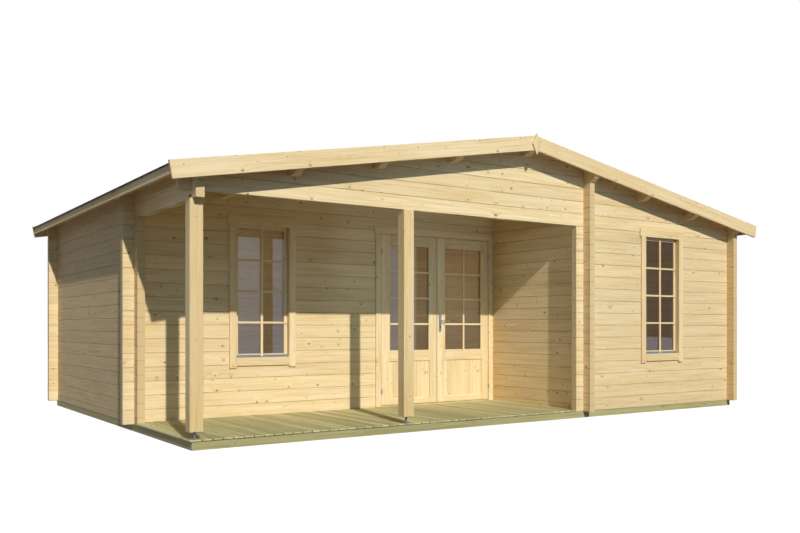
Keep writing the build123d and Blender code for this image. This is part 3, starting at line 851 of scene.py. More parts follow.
@dataclass
class PorchGround:
    """The treated timber under the house and the boards and screws of the porch deck."""

    pale: Colour = (0.64, 0.595, 0.33)
    middle: Colour = (0.55, 0.505, 0.255)
    deep: Colour = (0.42, 0.375, 0.165)
    brown: Colour = (0.44, 0.36, 0.12)
    deck_shade: Colour = (1.0, 1.0, 1.0)
    deck_tone: float = 0.4
    beam_shade: Colour = (0.76, 0.735, 0.67)
    beam_tone: float = 0.08
    gap: float = 0.009
    overhang: float = 0.010
    side_overhang: float = 0.018
    slit: float = 0.005
    stub_back_y: float = -2.458
    stub_left_x: float = 0.765
    left_stub_y: float = -1.027
    screw_rows: tuple[float, ...] = (-2.4785, -1.943, -1.408, -0.960)
    screw_aside: float = 0.026
    screw_radius: float = 0.0042

    def _treated(self, name: str, grain: Grain, shade: Colour, tone: float) -> bpy.types.Material:
        """Makes one treated finish.

        Args:
            name: The material's name.
            grain: The way the grain runs.
            shade: What the deck's colours are multiplied by.
            tone: How much boards differ.

        Returns:
            The material.
        """
        colours = np.array([self.pale, self.middle, self.deep, self.brown]) * shade
        shades = [tuple(colour) for colour in colours.tolist()]
        return WoodFinish(
            name, grain, None, 80.0, *shades, knot=(0.16, 0.1, 0.035),
            knot_pale=(0.3, 0.23, 0.08), halo=(0.36, 0.29, 0.11), tone=tone, knot_cell=0.2, knot_share=0.5,
        ).material()

    def _deck(self, finish: bpy.types.Material) -> None:
        """Lays the deck boards front to back, cut round the ends of the logs.

        Args:
            finish: Their material.

        Returns:
            None.
        """
        z = (HOUSE.wall_foot_z + self.slit, HOUSE.deck_top_z)
        boards = MeshBin()
        edges = np.arange(HOUSE.deck_left_x, HOUSE.deck_right_x, HOUSE.deck_pitch)
        for number, low in enumerate(edges):
            high = min(low + HOUSE.deck_pitch, HOUSE.deck_right_x + self.gap) - self.gap
            beside_stub = low >= self.stub_left_x
            front = self.stub_back_y if beside_stub else HOUSE.deck_front_y - self.overhang
            back = self.left_stub_y if number == 0 else HOUSE.deck_back_y
            right = high if beside_stub else min(high, self.stub_left_x)
            if right - low > self.gap:
                left = low if number else low - self.side_overhang
                boards.plank((left, right), (front, back), z, Grain.FRONT_TO_BACK, EASED)
        boards.build("deck_boards", Body.HOUSE, Slot.TREATED, finish, ("porch_deck",))
        across = edges[1:-2] + (HOUSE.deck_pitch - self.gap) / 2
        heads = MeshBin()
        for x in np.concatenate([across - self.screw_aside, across + self.screw_aside]):
            for y in self.screw_rows:
                heads.turned(np.array([x, y, HOUSE.deck_top_z]), np.array([-0.002, 0.0003, 0.0006]),
                             np.array([1.0, 1.0, 0.7]) * self.screw_radius, 8)
        heads.build("deck_screws", Body.HOUSE, Slot.DARK_STEEL, STEEL_DARK.material())

    def build(self) -> None:
        """Builds the deck and dresses the foundation.

        Returns:
            None.
        """
        self._deck(self._treated("deck_timber", Grain.BY_MAP, self.deck_shade, self.deck_tone))
        shade, tone = self.beam_shade, self.beam_tone
        dress(["foundation_beams"], self._treated("foundation_timber", Grain.ALONG_FRONT, shade, tone))
        sides = self._treated("foundation_side_timber", Grain.FRONT_TO_BACK, shade, tone)
        dress(["foundation_side_beams"], sides)


@dataclass
class RoofCover:
    """The boarding under the roof, its felt, and the boards round its edges."""

    board_count: int = 57
    board_gap: float = 0.001
    board_edge: float = 0.0035
    ridge_gap: float = 0.004
    felt_strip: float = 0.92
    felt_step: float = 0.0025
    felt_turn_down: float = 0.004
    cap_reach: float = 0.16
    waves: int = 41
    trim_height: float = 0.075
    diamond: tuple[float, float] = (0.111, 0.218)
    diamond_over: float = 0.018
    diamond_thick: float = 0.020

    def _down(self, side: int) -> tuple[np.ndarray, np.ndarray]:
        """Finds the directions of one slope.

        Args:
            side: -1 for the left slope, 1 for the right one.

        Returns:
            The unit directions down the slope and square out of it.
        """
        angle = HOUSE.roof_angle
        down = np.array([side * math.cos(angle), 0.0, -math.sin(angle)])
        out = np.array([side * math.sin(angle), 0.0, math.cos(angle)])
        return down, out

    def boarding(self, side: int, hand: str, finish: bpy.types.Material) -> None:
        """Lays boards side by side down one slope.

        Args:
            side: -1 for the left slope, 1 for the right one.
            hand: The slope's name.
            finish: Their material.

        Returns:
            None.
        """
        down, out = self._down(side)
        thick = HOUSE.board_thickness
        pitch = 2 * HOUSE.roof_half_depth / self.board_count
        ridge = np.array([0.0, 0.0, HOUSE.ridge_underside_z])
        run = HOUSE.eave_inner_x - thick * math.sin(HOUSE.roof_angle)
        length = run / math.cos(HOUSE.roof_angle) - self.ridge_gap
        boards = MeshBin()
        for number in range(self.board_count):
            middle_y = (number + 0.5) * pitch - HOUSE.roof_half_depth
            start = ridge + down * self.ridge_gap + out * thick / 2 + np.array([0.0, middle_y, 0.0])
            across = np.array([0.0, -float(side), 0.0])
            boards.board(start, down, across, (length, pitch - self.board_gap, thick), self.board_edge)
        name, node = f"roof_boarding_{hand}", f"roof_boards_{hand}"
        boards.build(name, Body.HOUSE, Slot.ROOF_BOARDS, finish, (node,))

    def felt(self, side: int, hand: str, finish: bpy.types.Material) -> None:
        """Lays lapped strips of felt on one slope and turns the lowest down over the eave.

        The section is a saw: each strip rises evenly to its lower edge and steps down onto the next.
        It is carried from the rear to the front while the edges waver by a few millimetres.

        Args:
            side: -1 for the left slope, 1 for the right one.
            hand: The slope's name.
            finish: Its material.

        Returns:
            None.
        """
        down, out = self._down(side)
        cosine = math.cos(HOUSE.roof_angle)
        end = HOUSE.felt_edge_x / cosine
        laps = np.arange(end - self.felt_strip, 0.1, -self.felt_strip)[::-1]
        edges = np.concatenate([[0.0], laps, [end]])
        rise, step = HOUSE.felt_thickness, self.felt_step
        high = np.full(len(edges) - 1, rise)
        top = np.stack([edges[:-1], high - step, edges[1:], high], axis=1).reshape(-1, 2)
        low = -self.felt_turn_down
        drop = np.array([
            (end + 0.0035, rise - 0.001), (end + 0.0045, low), (end + 0.0012, low), (end + 0.0006, 0.0002),
        ])
        section = np.concatenate([top, drop, [(0.0, 0.0002)]])
        y = np.linspace(HOUSE.roof_half_depth, -HOUSE.roof_half_depth, self.waves)
        waver = 0.0016 * np.sin(y * 5.1)[:, None] * np.sin(section[:, 0] * 2.3)[None, :]
        lengths = section[None, :, 0] + waver * (section[None, :, 0] < end - 0.01)
        heights = HOUSE.board_thickness + section[None, :, 1] + 0.0 * y[:, None]
        ridge = np.array([0.0, 0.0, HOUSE.ridge_underside_z])
        rings = ridge + lengths[..., None] * down + heights[..., None] * out
        rings[..., 1] += y[:, None]
        sheet = MeshBin()
        sheet.rings(rings, rings[..., :2])
        sheet.build(f"roof_felting_{hand}", Body.HOUSE, Slot.FELT, finish, (f"roof_felt_{hand}",))

    def cap(self, finish: bpy.types.Material) -> None:
        """Folds a strip of felt over the ridge.

        The section is a thin band that follows both slopes and is rounded where it bends.

        Args:
            finish: Its material.

        Returns:
            None.
        """
        across = np.array([-1.0, -0.5, -0.12, -0.05, 0.0, 0.05, 0.12, 0.5, 1.0]) * self.cap_reach
        cover = HOUSE.board_thickness + HOUSE.felt_thickness
        base = HOUSE.ridge_underside_z + cover / math.cos(HOUSE.roof_angle)
        bend = np.sqrt(across**2 + 0.012**2) - 0.006
        lower = base - HOUSE.slope * np.maximum(bend, 0.0) + 0.0004
        section = np.concatenate([np.stack([across, lower], 1), np.stack([across, lower + 0.003], 1)[::-1]])
        y = np.linspace(-HOUSE.roof_half_depth, HOUSE.roof_half_depth, self.waves)
        waver = 1.0 + 0.01 * np.sin(y * 4.3)
        rings = np.stack(
            [section[None, :, 0] * waver[:, None], np.broadcast_to(y[:, None], (len(y), len(section))),
             np.broadcast_to(section[None, :, 1], (len(y), len(section)))], axis=-1)
        strip = MeshBin()
        strip.rings(rings, rings[..., :2])
        strip.build("ridge_cap_felt", Body.HOUSE, Slot.FELT, finish)

    def build(self) -> None:
        """Builds the covering and dresses the boards round it.

        Returns:
            None.
        """
        boards = WoodFinish("soffit_pine", Grain.BY_MAP, None, 100.0, tone=0.14).material()
        felt = FeltFinish("mineral_felt").material()
        for side, hand in ((-1, "left"), (1, "right")):
            self.boarding(side, hand, boards)
            self.felt(side, hand, felt)
        self.cap(felt)
        self.edge_boards()

    def edge_boards(self) -> None:
        """Builds the bargeboards, the eave trims and the diamond boards with their edges eased.

        Returns:
            None.
        """
        slope = WoodFinish("bargeboard_pine", Grain.DOWN_SLOPE, None, 101.0, knot_share=0.75).material()
        trim = WoodFinish("trim_pine", Grain.FRONT_TO_BACK, None, 102.0).material()
        diamond = WoodFinish("finial_pine", Grain.UPRIGHT, None, 103.0, knot_share=0.3).material()
        angle, ridge, width = HOUSE.roof_angle, HOUSE.ridge_top_z, HOUSE.barge_width
        end_z = ridge - HOUSE.slope * HOUSE.eave_x
        low = (HOUSE.eave_x - width * math.sin(angle), end_z - width * math.cos(angle))
        board = np.array([(0.0, ridge), (0.0, ridge - width / math.cos(angle)), low, (HOUSE.eave_x, end_z)])
        inner, outer = HOUSE.eave_inner_x, HOUSE.trim_face_x
        top = HOUSE.boards_top_z - HOUSE.slope * np.array([inner, outer])
        foot = top[1] - self.trim_height
        strip = np.array([(inner, top[0]), (inner, foot), (outer, foot), (outer, top[1])])
        depth, thick = HOUSE.roof_half_depth, HOUSE.barge_thickness
        for side, hand in ((-1, "left"), (1, "right")):
            turn = slice(None, None, side)
            along_eave = MeshBin()
            along_eave.slab((strip * (side, 1))[turn], (-depth, depth), Grain.ALONG_FRONT)
            along_eave.build(f"eave_board_{hand}", Body.HOUSE, Slot.JOINERY, trim, (f"eave_trim_{hand}",))
            for end, y in (("front", (-depth - thick, -depth)), ("rear", (depth, depth + thick))):
                sloping = MeshBin()
                sloping.slab((board * (side, 1))[turn], y, Grain.ALONG_FRONT)
                name, node = f"barge_{end}_{hand}", f"bargeboard_{end}_{hand}"
                sloping.build(name, Body.HOUSE, Slot.JOINERY, slope, (node,))
        middle = ridge + self.diamond_over - self.diamond[1] / 2
        half_wide, half_high = self.diamond[0] / 2, self.diamond[1] / 2
        outline = np.array([
            (0.0, middle - half_high), (half_wide, middle), (0.0, middle + half_high), (-half_wide, middle),
        ])
        face, tip = depth + thick, depth + thick + self.diamond_thick
        for end, y in (("front", (-tip, -face)), ("rear", (face, tip))):
            piece = MeshBin()
            piece.slab(outline, y, Grain.UPRIGHT, 0.003)
            piece.build(f"diamond_board_{end}", Body.HOUSE, Slot.JOINERY, diamond, (f"finial_{end}",))


@dataclass
class Window:
    """A tall window: lining, casing boards, sash and a grid of bars laid on the sash."""

    name: str
    centre_x: float
    face_y: float
    half_width: float = 0.288
    sill_z: float = 0.680
    head_z: float = 2.042
    lining: float = 0.022
    depth: float = 0.091
    sash_depth: float = 0.036
    stile: float = 0.037
    casing: float = 0.020
    casing_width: float = 0.075
    head_height: float = 0.095
    head_overhang: float = 0.020
    apron: float = 0.085
    tail: float = 0.021
    upright_bar: float = 0.027
    cross_bar: float = 0.021
    bar_thick: float = 0.013
    bar_lap: float = 0.028
    columns: int = 2
    rows: int = 4

    def _frame(self, finish: bpy.types.Material) -> None:
        """Builds the lining in the wall and the casing boards on its face.

        Args:
            finish: The boards' material.

        Returns:
            None.
        """
        left, right = self.centre_x - self.half_width, self.centre_x + self.half_width
        inside = (self.face_y, self.face_y + self.depth)
        face = (self.face_y - self.casing, self.face_y)
        wood = MeshBin()
        for x in ((left - self.lining, left), (right, right + self.lining)):
            wood.plank(x, inside, (self.sill_z, self.head_z), Grain.UPRIGHT)
        for z in ((self.sill_z - self.lining, self.sill_z), (self.head_z, self.head_z + self.lining)):
            wood.plank((left - self.lining, right + self.lining), inside, z, Grain.ALONG_FRONT)
        low = self.sill_z - self.apron - self.tail
        for x in ((left - self.casing_width, left), (right, right + self.casing_width)):
            wood.plank(x, face, (low, self.head_z), Grain.UPRIGHT, EASED)
        wood.plank((left, right), face, (self.sill_z - self.apron, self.sill_z), Grain.ALONG_FRONT, EASED)
        reach = self.casing_width + self.head_overhang
        over = (self.head_z, self.head_z + self.head_height)
        wood.plank((left - reach, right + reach), face, over, Grain.ALONG_FRONT, EASED)
        wood.build(f"{self.name}_boards", Body.HOUSE, Slot.JOINERY, finish, (f"{self.name}_frame",))

    def _sash(self, finish: bpy.types.Material, glass: bpy.types.Material) -> None:
        """Builds the sash, lays the bars on its face and sets the pane behind them.

        Args:
            finish: The wood's material.
            glass: The pane's material.

        Returns:
            None.
        """
        left, right = self.centre_x - self.half_width, self.centre_x + self.half_width
        y = (self.face_y + self.sash_depth, self.face_y + self.depth)
        wood = MeshBin()
        for x in ((left, left + self.stile), (right - self.stile, right)):
            wood.plank(x, y, (self.sill_z, self.head_z), Grain.UPRIGHT, 0.003)
        between = (left + self.stile, right - self.stile)
        for z in ((self.sill_z, self.sill_z + self.stile), (self.head_z - self.stile, self.head_z)):
            wood.plank(between, y, z, Grain.ALONG_FRONT, 0.003)
        wood.build(f"{self.name}_sash_wood", Body.HOUSE, Slot.JOINERY, finish, (f"{self.name}_sash",))
        low, high = self.sill_z + self.stile, self.head_z - self.stile
        bars = BarGrid(
            between, (low, high), y[0], self.columns, self.rows,
            self.upright_bar, self.cross_bar, self.bar_thick, self.bar_lap,
        )
        bars.build(f"{self.name}_bars", Body.HOUSE, finish)
        Pane(between, (low, high), y[0]).build(f"{self.name}_pane", Body.HOUSE, f"{self.name}_glass", glass)

    def build(self, finish: bpy.types.Material, glass: bpy.types.Material) -> None:
        """Builds the window.

        Args:
            finish: The wood's material.
            glass: The pane's material.

        Returns:
            None.
        """
        self._frame(finish)
        self._sash(finish, glass)


@dataclass
class BarGrid:
    """Glazing bars laid over a light, their ends lapping the wood round it."""

    x: Span
    z: Span
    face_y: float
    columns: int
    rows: int
    upright: float
    cross: float
    thick: float
    lap: float

    def build(self, name: str, body: Body, finish: bpy.types.Material) -> None:
        """Builds the bars of one light.

        Args:
            name: The piece's name.
            body: The body it rides on.
            finish: The wood's material.

        Returns:
            None.
        """
        wood = MeshBin()
        y = (self.face_y - self.thick, self.face_y - 0.0002)
        ends = (self.z[0] - self.lap, self.z[1] + self.lap)
        for x in np.linspace(*self.x, self.columns + 1)[1:-1]:
            wood.plank((x - self.upright / 2, x + self.upright / 2), y, ends, Grain.UPRIGHT)
        across = (self.x[0] - self.lap, self.x[1] + self.lap)
        for z in np.linspace(*self.z, self.rows + 1)[1:-1]:
            proud = (y[0] - 0.0008, y[1])
            wood.plank(across, proud, (z - self.cross / 2, z + self.cross / 2), Grain.ALONG_FRONT)
        wood.build(name, body, Slot.JOINERY, finish)


@dataclass
class Pane:
    """A sheet of glass close behind the bars, its edges held in the wood round the light."""

    x: Span
    z: Span
    face_y: float
    set_back: float = 0.0015
    thick: float = 0.004
    hold: float = 0.008

    def build(self, name: str, body: Body, node: str, finish: bpy.types.Material) -> None:
        """Builds the sheet.

        Args:
            name: The piece's name.
            body: The body it rides on.
            node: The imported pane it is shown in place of.
            finish: The glass's material.

        Returns:
            None.
        """
        front = self.face_y + self.set_back
        glass = MeshBin()
        wide, high = ((span[0] - self.hold, span[1] + self.hold) for span in (self.x, self.z))
        glass.plank(wide, (front, front + self.thick), high, Grain.UPRIGHT, 0.0005)
        glass.build(name, body, Slot.GLASS, finish, (node,))


@dataclass
class DripStrips:
    """Bent metal strips that lead water off the foot of each sash."""

    windows: tuple[Window, ...]
    rise: float = 0.024
    nose: float = 0.015
    reach: float = 0.012
    sheet: float = 0.0015

    def build(self) -> None:
        """Builds the strips.

        A bent section, which slopes out from the sash and then turns down, is carried along the sill.

        Returns:
            None.
        """
        metal = MeshBin()
        for window in self.windows:
            face, sill = window.face_y + window.sash_depth, window.sill_z + 0.0005
            outer, inner = face - self.reach, face - self.reach + self.sheet
            section = np.array([
                (face, self.rise), (outer, self.nose), (outer, 0.0), (inner, 0.0),
                (inner, self.nose - self.sheet), (face, self.rise - self.sheet),
            ]) + (0.0, sill)
            ends = window.centre_x + np.array([-1.0, 1.0]) * (window.half_width - 0.001)
            x, _ = np.broadcast_arrays(ends[:, None], section[:, 0])
            rings = np.stack([x, *np.broadcast_to(section.T[:, None], (2, *x.shape))], axis=-1)
            metal.rings(rings, np.stack([x, np.broadcast_to(section[:, 1], x.shape)], axis=-1))
        metal.build("window_drip_strips", Body.HOUSE, Slot.DRIP, DRIP_PAINT.material(), ("window_drips",))


@dataclass
class DoorFrame:
    """Jambs, head, threshold, stops and casing boards round the double door."""

    hole_x: Span = (-0.783, 0.828)
    clear_x: Span = (-0.745, 0.790)
    foot_z: float = 0.067
    threshold_z: float = 0.095
    head_z: float = 2.054
    wall_head_z: float = 2.092
    casing: float = 0.020
    casing_width: float = 0.068
    casing_head: float = 0.080
    overhang: float = 0.014
    stop: float = 0.012
    stop_y: float = -0.880

    def build(self, finish: bpy.types.Material) -> None:
        """Builds the frame from its boards.

        Args:
            finish: The wood's material.

        Returns:
            None.
        """
        back = HOUSE.porch_y + HOUSE.log_thickness
        wall, face = (HOUSE.porch_y, back), (HOUSE.porch_y - self.casing, HOUSE.porch_y)
        wood = MeshBin()
        for x in ((self.hole_x[0], self.clear_x[0]), (self.clear_x[1], self.hole_x[1])):
            wood.plank(x, wall, (self.foot_z, self.wall_head_z), Grain.UPRIGHT)
        wood.plank(self.clear_x, wall, (self.head_z, self.wall_head_z), Grain.ALONG_FRONT)
        wood.plank(self.clear_x, wall, (self.foot_z, self.threshold_z), Grain.ALONG_FRONT, 0.004)
        stop = (self.stop_y, back)
        left, right = self.clear_x
        for x in ((left, left + self.stop), (right - self.stop, right)):
            wood.plank(x, stop, (self.threshold_z, self.head_z), Grain.UPRIGHT, 0.001)
        inner = (self.clear_x[0] + self.stop, self.clear_x[1] - self.stop)
        wood.plank(inner, stop, (self.head_z - self.stop, self.head_z), Grain.ALONG_FRONT, 0.001)
        casing_z = (HOUSE.deck_top_z + 0.002, self.head_z)
        casing_left = self.clear_x[0] - self.casing_width
        wood.plank((casing_left, self.clear_x[0]), face, casing_z, Grain.UPRIGHT, EASED)
        wood.plank((self.clear_x[1], self.hole_x[1]), face, casing_z, Grain.UPRIGHT, EASED)
        head_z = (self.head_z, self.head_z + self.casing_head)
        wood.plank((casing_left - self.overhang, self.hole_x[1]), face, head_z, Grain.ALONG_FRONT, EASED)
        wood.build("door_frame_boards", Body.HOUSE, Slot.JOINERY, finish, ("door_frame",))


@dataclass
class DoorLeaf:
    """One leaf: stiles and rails round a barred light over a boarded panel."""

    hand: str
    body: Body
    left_x: float
    width: float = 0.7575
    y: Span = (-0.932, -0.887)
    z: Span = (0.103, 2.048)
    stile: float = 0.115
    panel_z: Span = (0.178, 0.599)
    light_z: Span = (0.726, 1.928)
    panel_reach: float = 0.015
    panel_y: Span = (-0.919, -0.900)
    panel_boards: int = 9
    panel_tuck: float = 0.004
    panel_joint: float = 0.0003
    upright_bar: float = 0.023
    cross_bar: float = 0.022
    bar_thick: float = 0.012
    bar_lap: float = 0.022
    columns: int = 2
    rows: int = 4

    def _stile(self, outer_x: float, way: int) -> np.ndarray:
        """Draws a stile, narrower beside the panel.

        Args:
            outer_x: Its outer edge.
            way: 1 if the leaf lies to its right, -1 if to its left.

        Returns:
            Its outline, anticlockwise seen from the front.
        """
        wide, narrow = self.stile, self.stile - self.panel_reach
        outline = np.array([
            (0.0, self.z[0]), (wide, self.z[0]), (wide, self.panel_z[0]), (narrow, self.panel_z[0]),
            (narrow, self.panel_z[1]), (wide, self.panel_z[1]), (wide, self.z[1]), (0.0, self.z[1]),
        ])
        outline[:, 0] = outer_x + way * outline[:, 0]
        return outline if way > 0 else outline[::-1]

    def build(self, finish: bpy.types.Material, glass: bpy.types.Material) -> None:
        """Builds the leaf's wood and its pane.

        Args:
            finish: The wood's material.
            glass: The pane's material.

        Returns:
            None.
        """
        right_x = self.left_x + self.width
        light_x = (self.left_x + self.stile, right_x - self.stile)
        wood = MeshBin()
        wood.slab(self._stile(self.left_x, 1), self.y, Grain.UPRIGHT)
        wood.slab(self._stile(right_x, -1), self.y, Grain.UPRIGHT)
        rails = (
            (self.z[0], self.panel_z[0]), (self.panel_z[1], self.light_z[0]), (self.light_z[1], self.z[1]),
        )
        for z in rails:
            wood.plank(light_x, self.y, z, Grain.ALONG_FRONT)
        beside = self.panel_reach + self.panel_tuck
        edges = np.linspace(light_x[0] - beside, light_x[1] + beside, self.panel_boards + 1)
        panel_z = (self.panel_z[0] - self.panel_tuck, self.panel_z[1] + self.panel_tuck)
        for low, high in zip(edges[:-1] + self.panel_joint, edges[1:] - self.panel_joint):
            wood.plank((low, high), self.panel_y, panel_z, Grain.UPRIGHT, EASED)
        name, node = f"door_leaf_{self.hand}_wood", f"door_leaf_{self.hand}"
        wood.build(name, self.body, Slot.JOINERY, finish, (node,))
        bars = BarGrid(
            light_x, self.light_z, self.y[0], self.columns, self.rows,
            self.upright_bar, self.cross_bar, self.bar_thick, self.bar_lap,
        )
        bars.build(f"door_bars_{self.hand}", self.body, finish)
        pane = Pane(light_x, self.light_z, self.y[0])
        pane.build(f"door_pane_{self.hand}", self.body, f"door_glass_{self.hand}", glass)


@dataclass
class PostFeet:
    """Screw feet of the porch posts: two plates, a threaded stud and a nut."""

    places: tuple[tuple[float, float], ...] = ((-3.41, -2.495), (-1.3978786, -2.495))
    plate: float = 0.072
    plate_thick: float = 0.005
    post_low_z: float = 0.151
    stud: float = 0.010
    nut: float = 0.017
    nut_height: float = 0.012
    plate_edge: float = 0.0012
    thread: float = 0.0013
    pitch: float = 0.0035
    stations: int = 141
    screw: float = 0.0055
    screw_share: float = 0.68

    def build(self) -> None:
        """Builds the feet.

        Returns:
            None.
        """
        metal, low, high = MeshBin(), HOUSE.deck_top_z, self.post_low_z
        half = self.plate / 2
        for x, y in self.places:
            for z in ((low, low + self.plate_thick), (high - self.plate_thick, high)):
                metal.plank((x - half, x + half), (y - half, y + half), z, Grain.ALONG_FRONT, self.plate_edge)
            heights = np.linspace(low + self.plate_thick, high - self.plate_thick, self.stations)
            radii = np.full(self.stations, self.stud)
            metal.turned(np.array([x, y, 0.0]), heights, radii, 14, self.thread, self.pitch)
            nut = np.array([0.0, 0.0015, self.nut_height - 0.0015, self.nut_height])
            foot = np.array([x, y, high - self.plate_thick - self.nut_height])
            metal.turned(foot, nut, np.array([0.9, 1.0, 1.0, 0.9]) * self.nut, 6)
            for dx, dy in ((-1, -1), (1, -1), (1, 1), (-1, 1)):
                aside = half * self.screw_share
                screw = np.array([x + dx * aside, y + dy * aside, low + self.plate_thick])
                radii = np.array([1.0, 1.0, 0.6]) * self.screw
                metal.turned(screw, np.array([-0.001, 0.001, 0.0024]), radii, 10)
        metal.build("post_feet_metal", Body.HOUSE, Slot.DARK_STEEL, PLATED.material(), ("post_feet",))


@dataclass
class Hinges:
    """Lift-off hinges: barrels with rounded ends and a neck to the wood behind."""

    axes: tuple[tuple[float, int, str, Body], ...] = (
        (-0.742, 1, "left", Body.LEFT_DOOR), (0.787, -1, "right", Body.RIGHT_DOOR),
    )
    axis_y: float = -0.948
    heights: tuple[float, float] = (0.264, 1.854)
    radius: float = 0.008
    knuckle: float = 0.028
    gap: float = 0.0003
    casing_face_y: float = -0.940
    leaf_face_y: float = -0.932
    neck_share: float = 0.7
    neck_aside: float = 0.001
    neck_below: float = 0.002
    neck_edge: float = 0.0005

    def _barrel(self, metal: MeshBin, x: float, z: float, way: int) -> None:
        """Turns one barrel: straight where it meets the other, rounded and ringed at its far end.

        Args:
            metal: The mesh it joins.
            x: Place of the axis.
            z: Height of the end that meets the other barrel.
            way: 1 if it stands over that end, -1 if it hangs under it.

        Returns:
            None.
        """
        share = np.array([0.0, 0.02, 0.72, 0.74, 0.79, 0.81, 0.93, 0.98, 1.0])
        swell = np.array([0.96, 1.0, 1.0, 0.9, 0.9, 1.0, 1.0, 0.8, 0.45])
        metal.turned(np.array([x, self.axis_y, z]), way * share * self.knuckle, swell * self.radius, 20)

    def build(self) -> None:
        """Builds the knuckles on the casing and on both leaves.

        Returns:
            None.
        """
        finish = STEEL.material()
        fixed = MeshBin()
        for x, way, hand, body in self.axes:
            hung = MeshBin()
            for z in self.heights:
                self._barrel(fixed, x, z, -1)
                beside = tuple(sorted((x - way * self.neck_aside, x - way * self.radius)))
                deep, neck = (self.axis_y, self.casing_face_y), self.knuckle * self.neck_share
                fixed.plank(beside, deep, (z - neck, z - self.neck_below), Grain.UPRIGHT, self.neck_edge)
                self._barrel(hung, x, z + self.gap, 1)
                beside = tuple(sorted((x + way * self.neck_aside, x + way * self.radius)))
                deep = (self.axis_y, self.leaf_face_y)
                hung.plank(beside, deep, (z + self.neck_below, z + neck), Grain.UPRIGHT, self.neck_edge)
            hung.build(f"hinge_barrels_{hand}", body, Slot.STEEL, finish, (f"hinge_leaf_knuckles_{hand}",))
        fixed.build("hinge_barrels_frame", Body.HOUSE, Slot.STEEL, finish, ("hinge_frame_knuckles",))


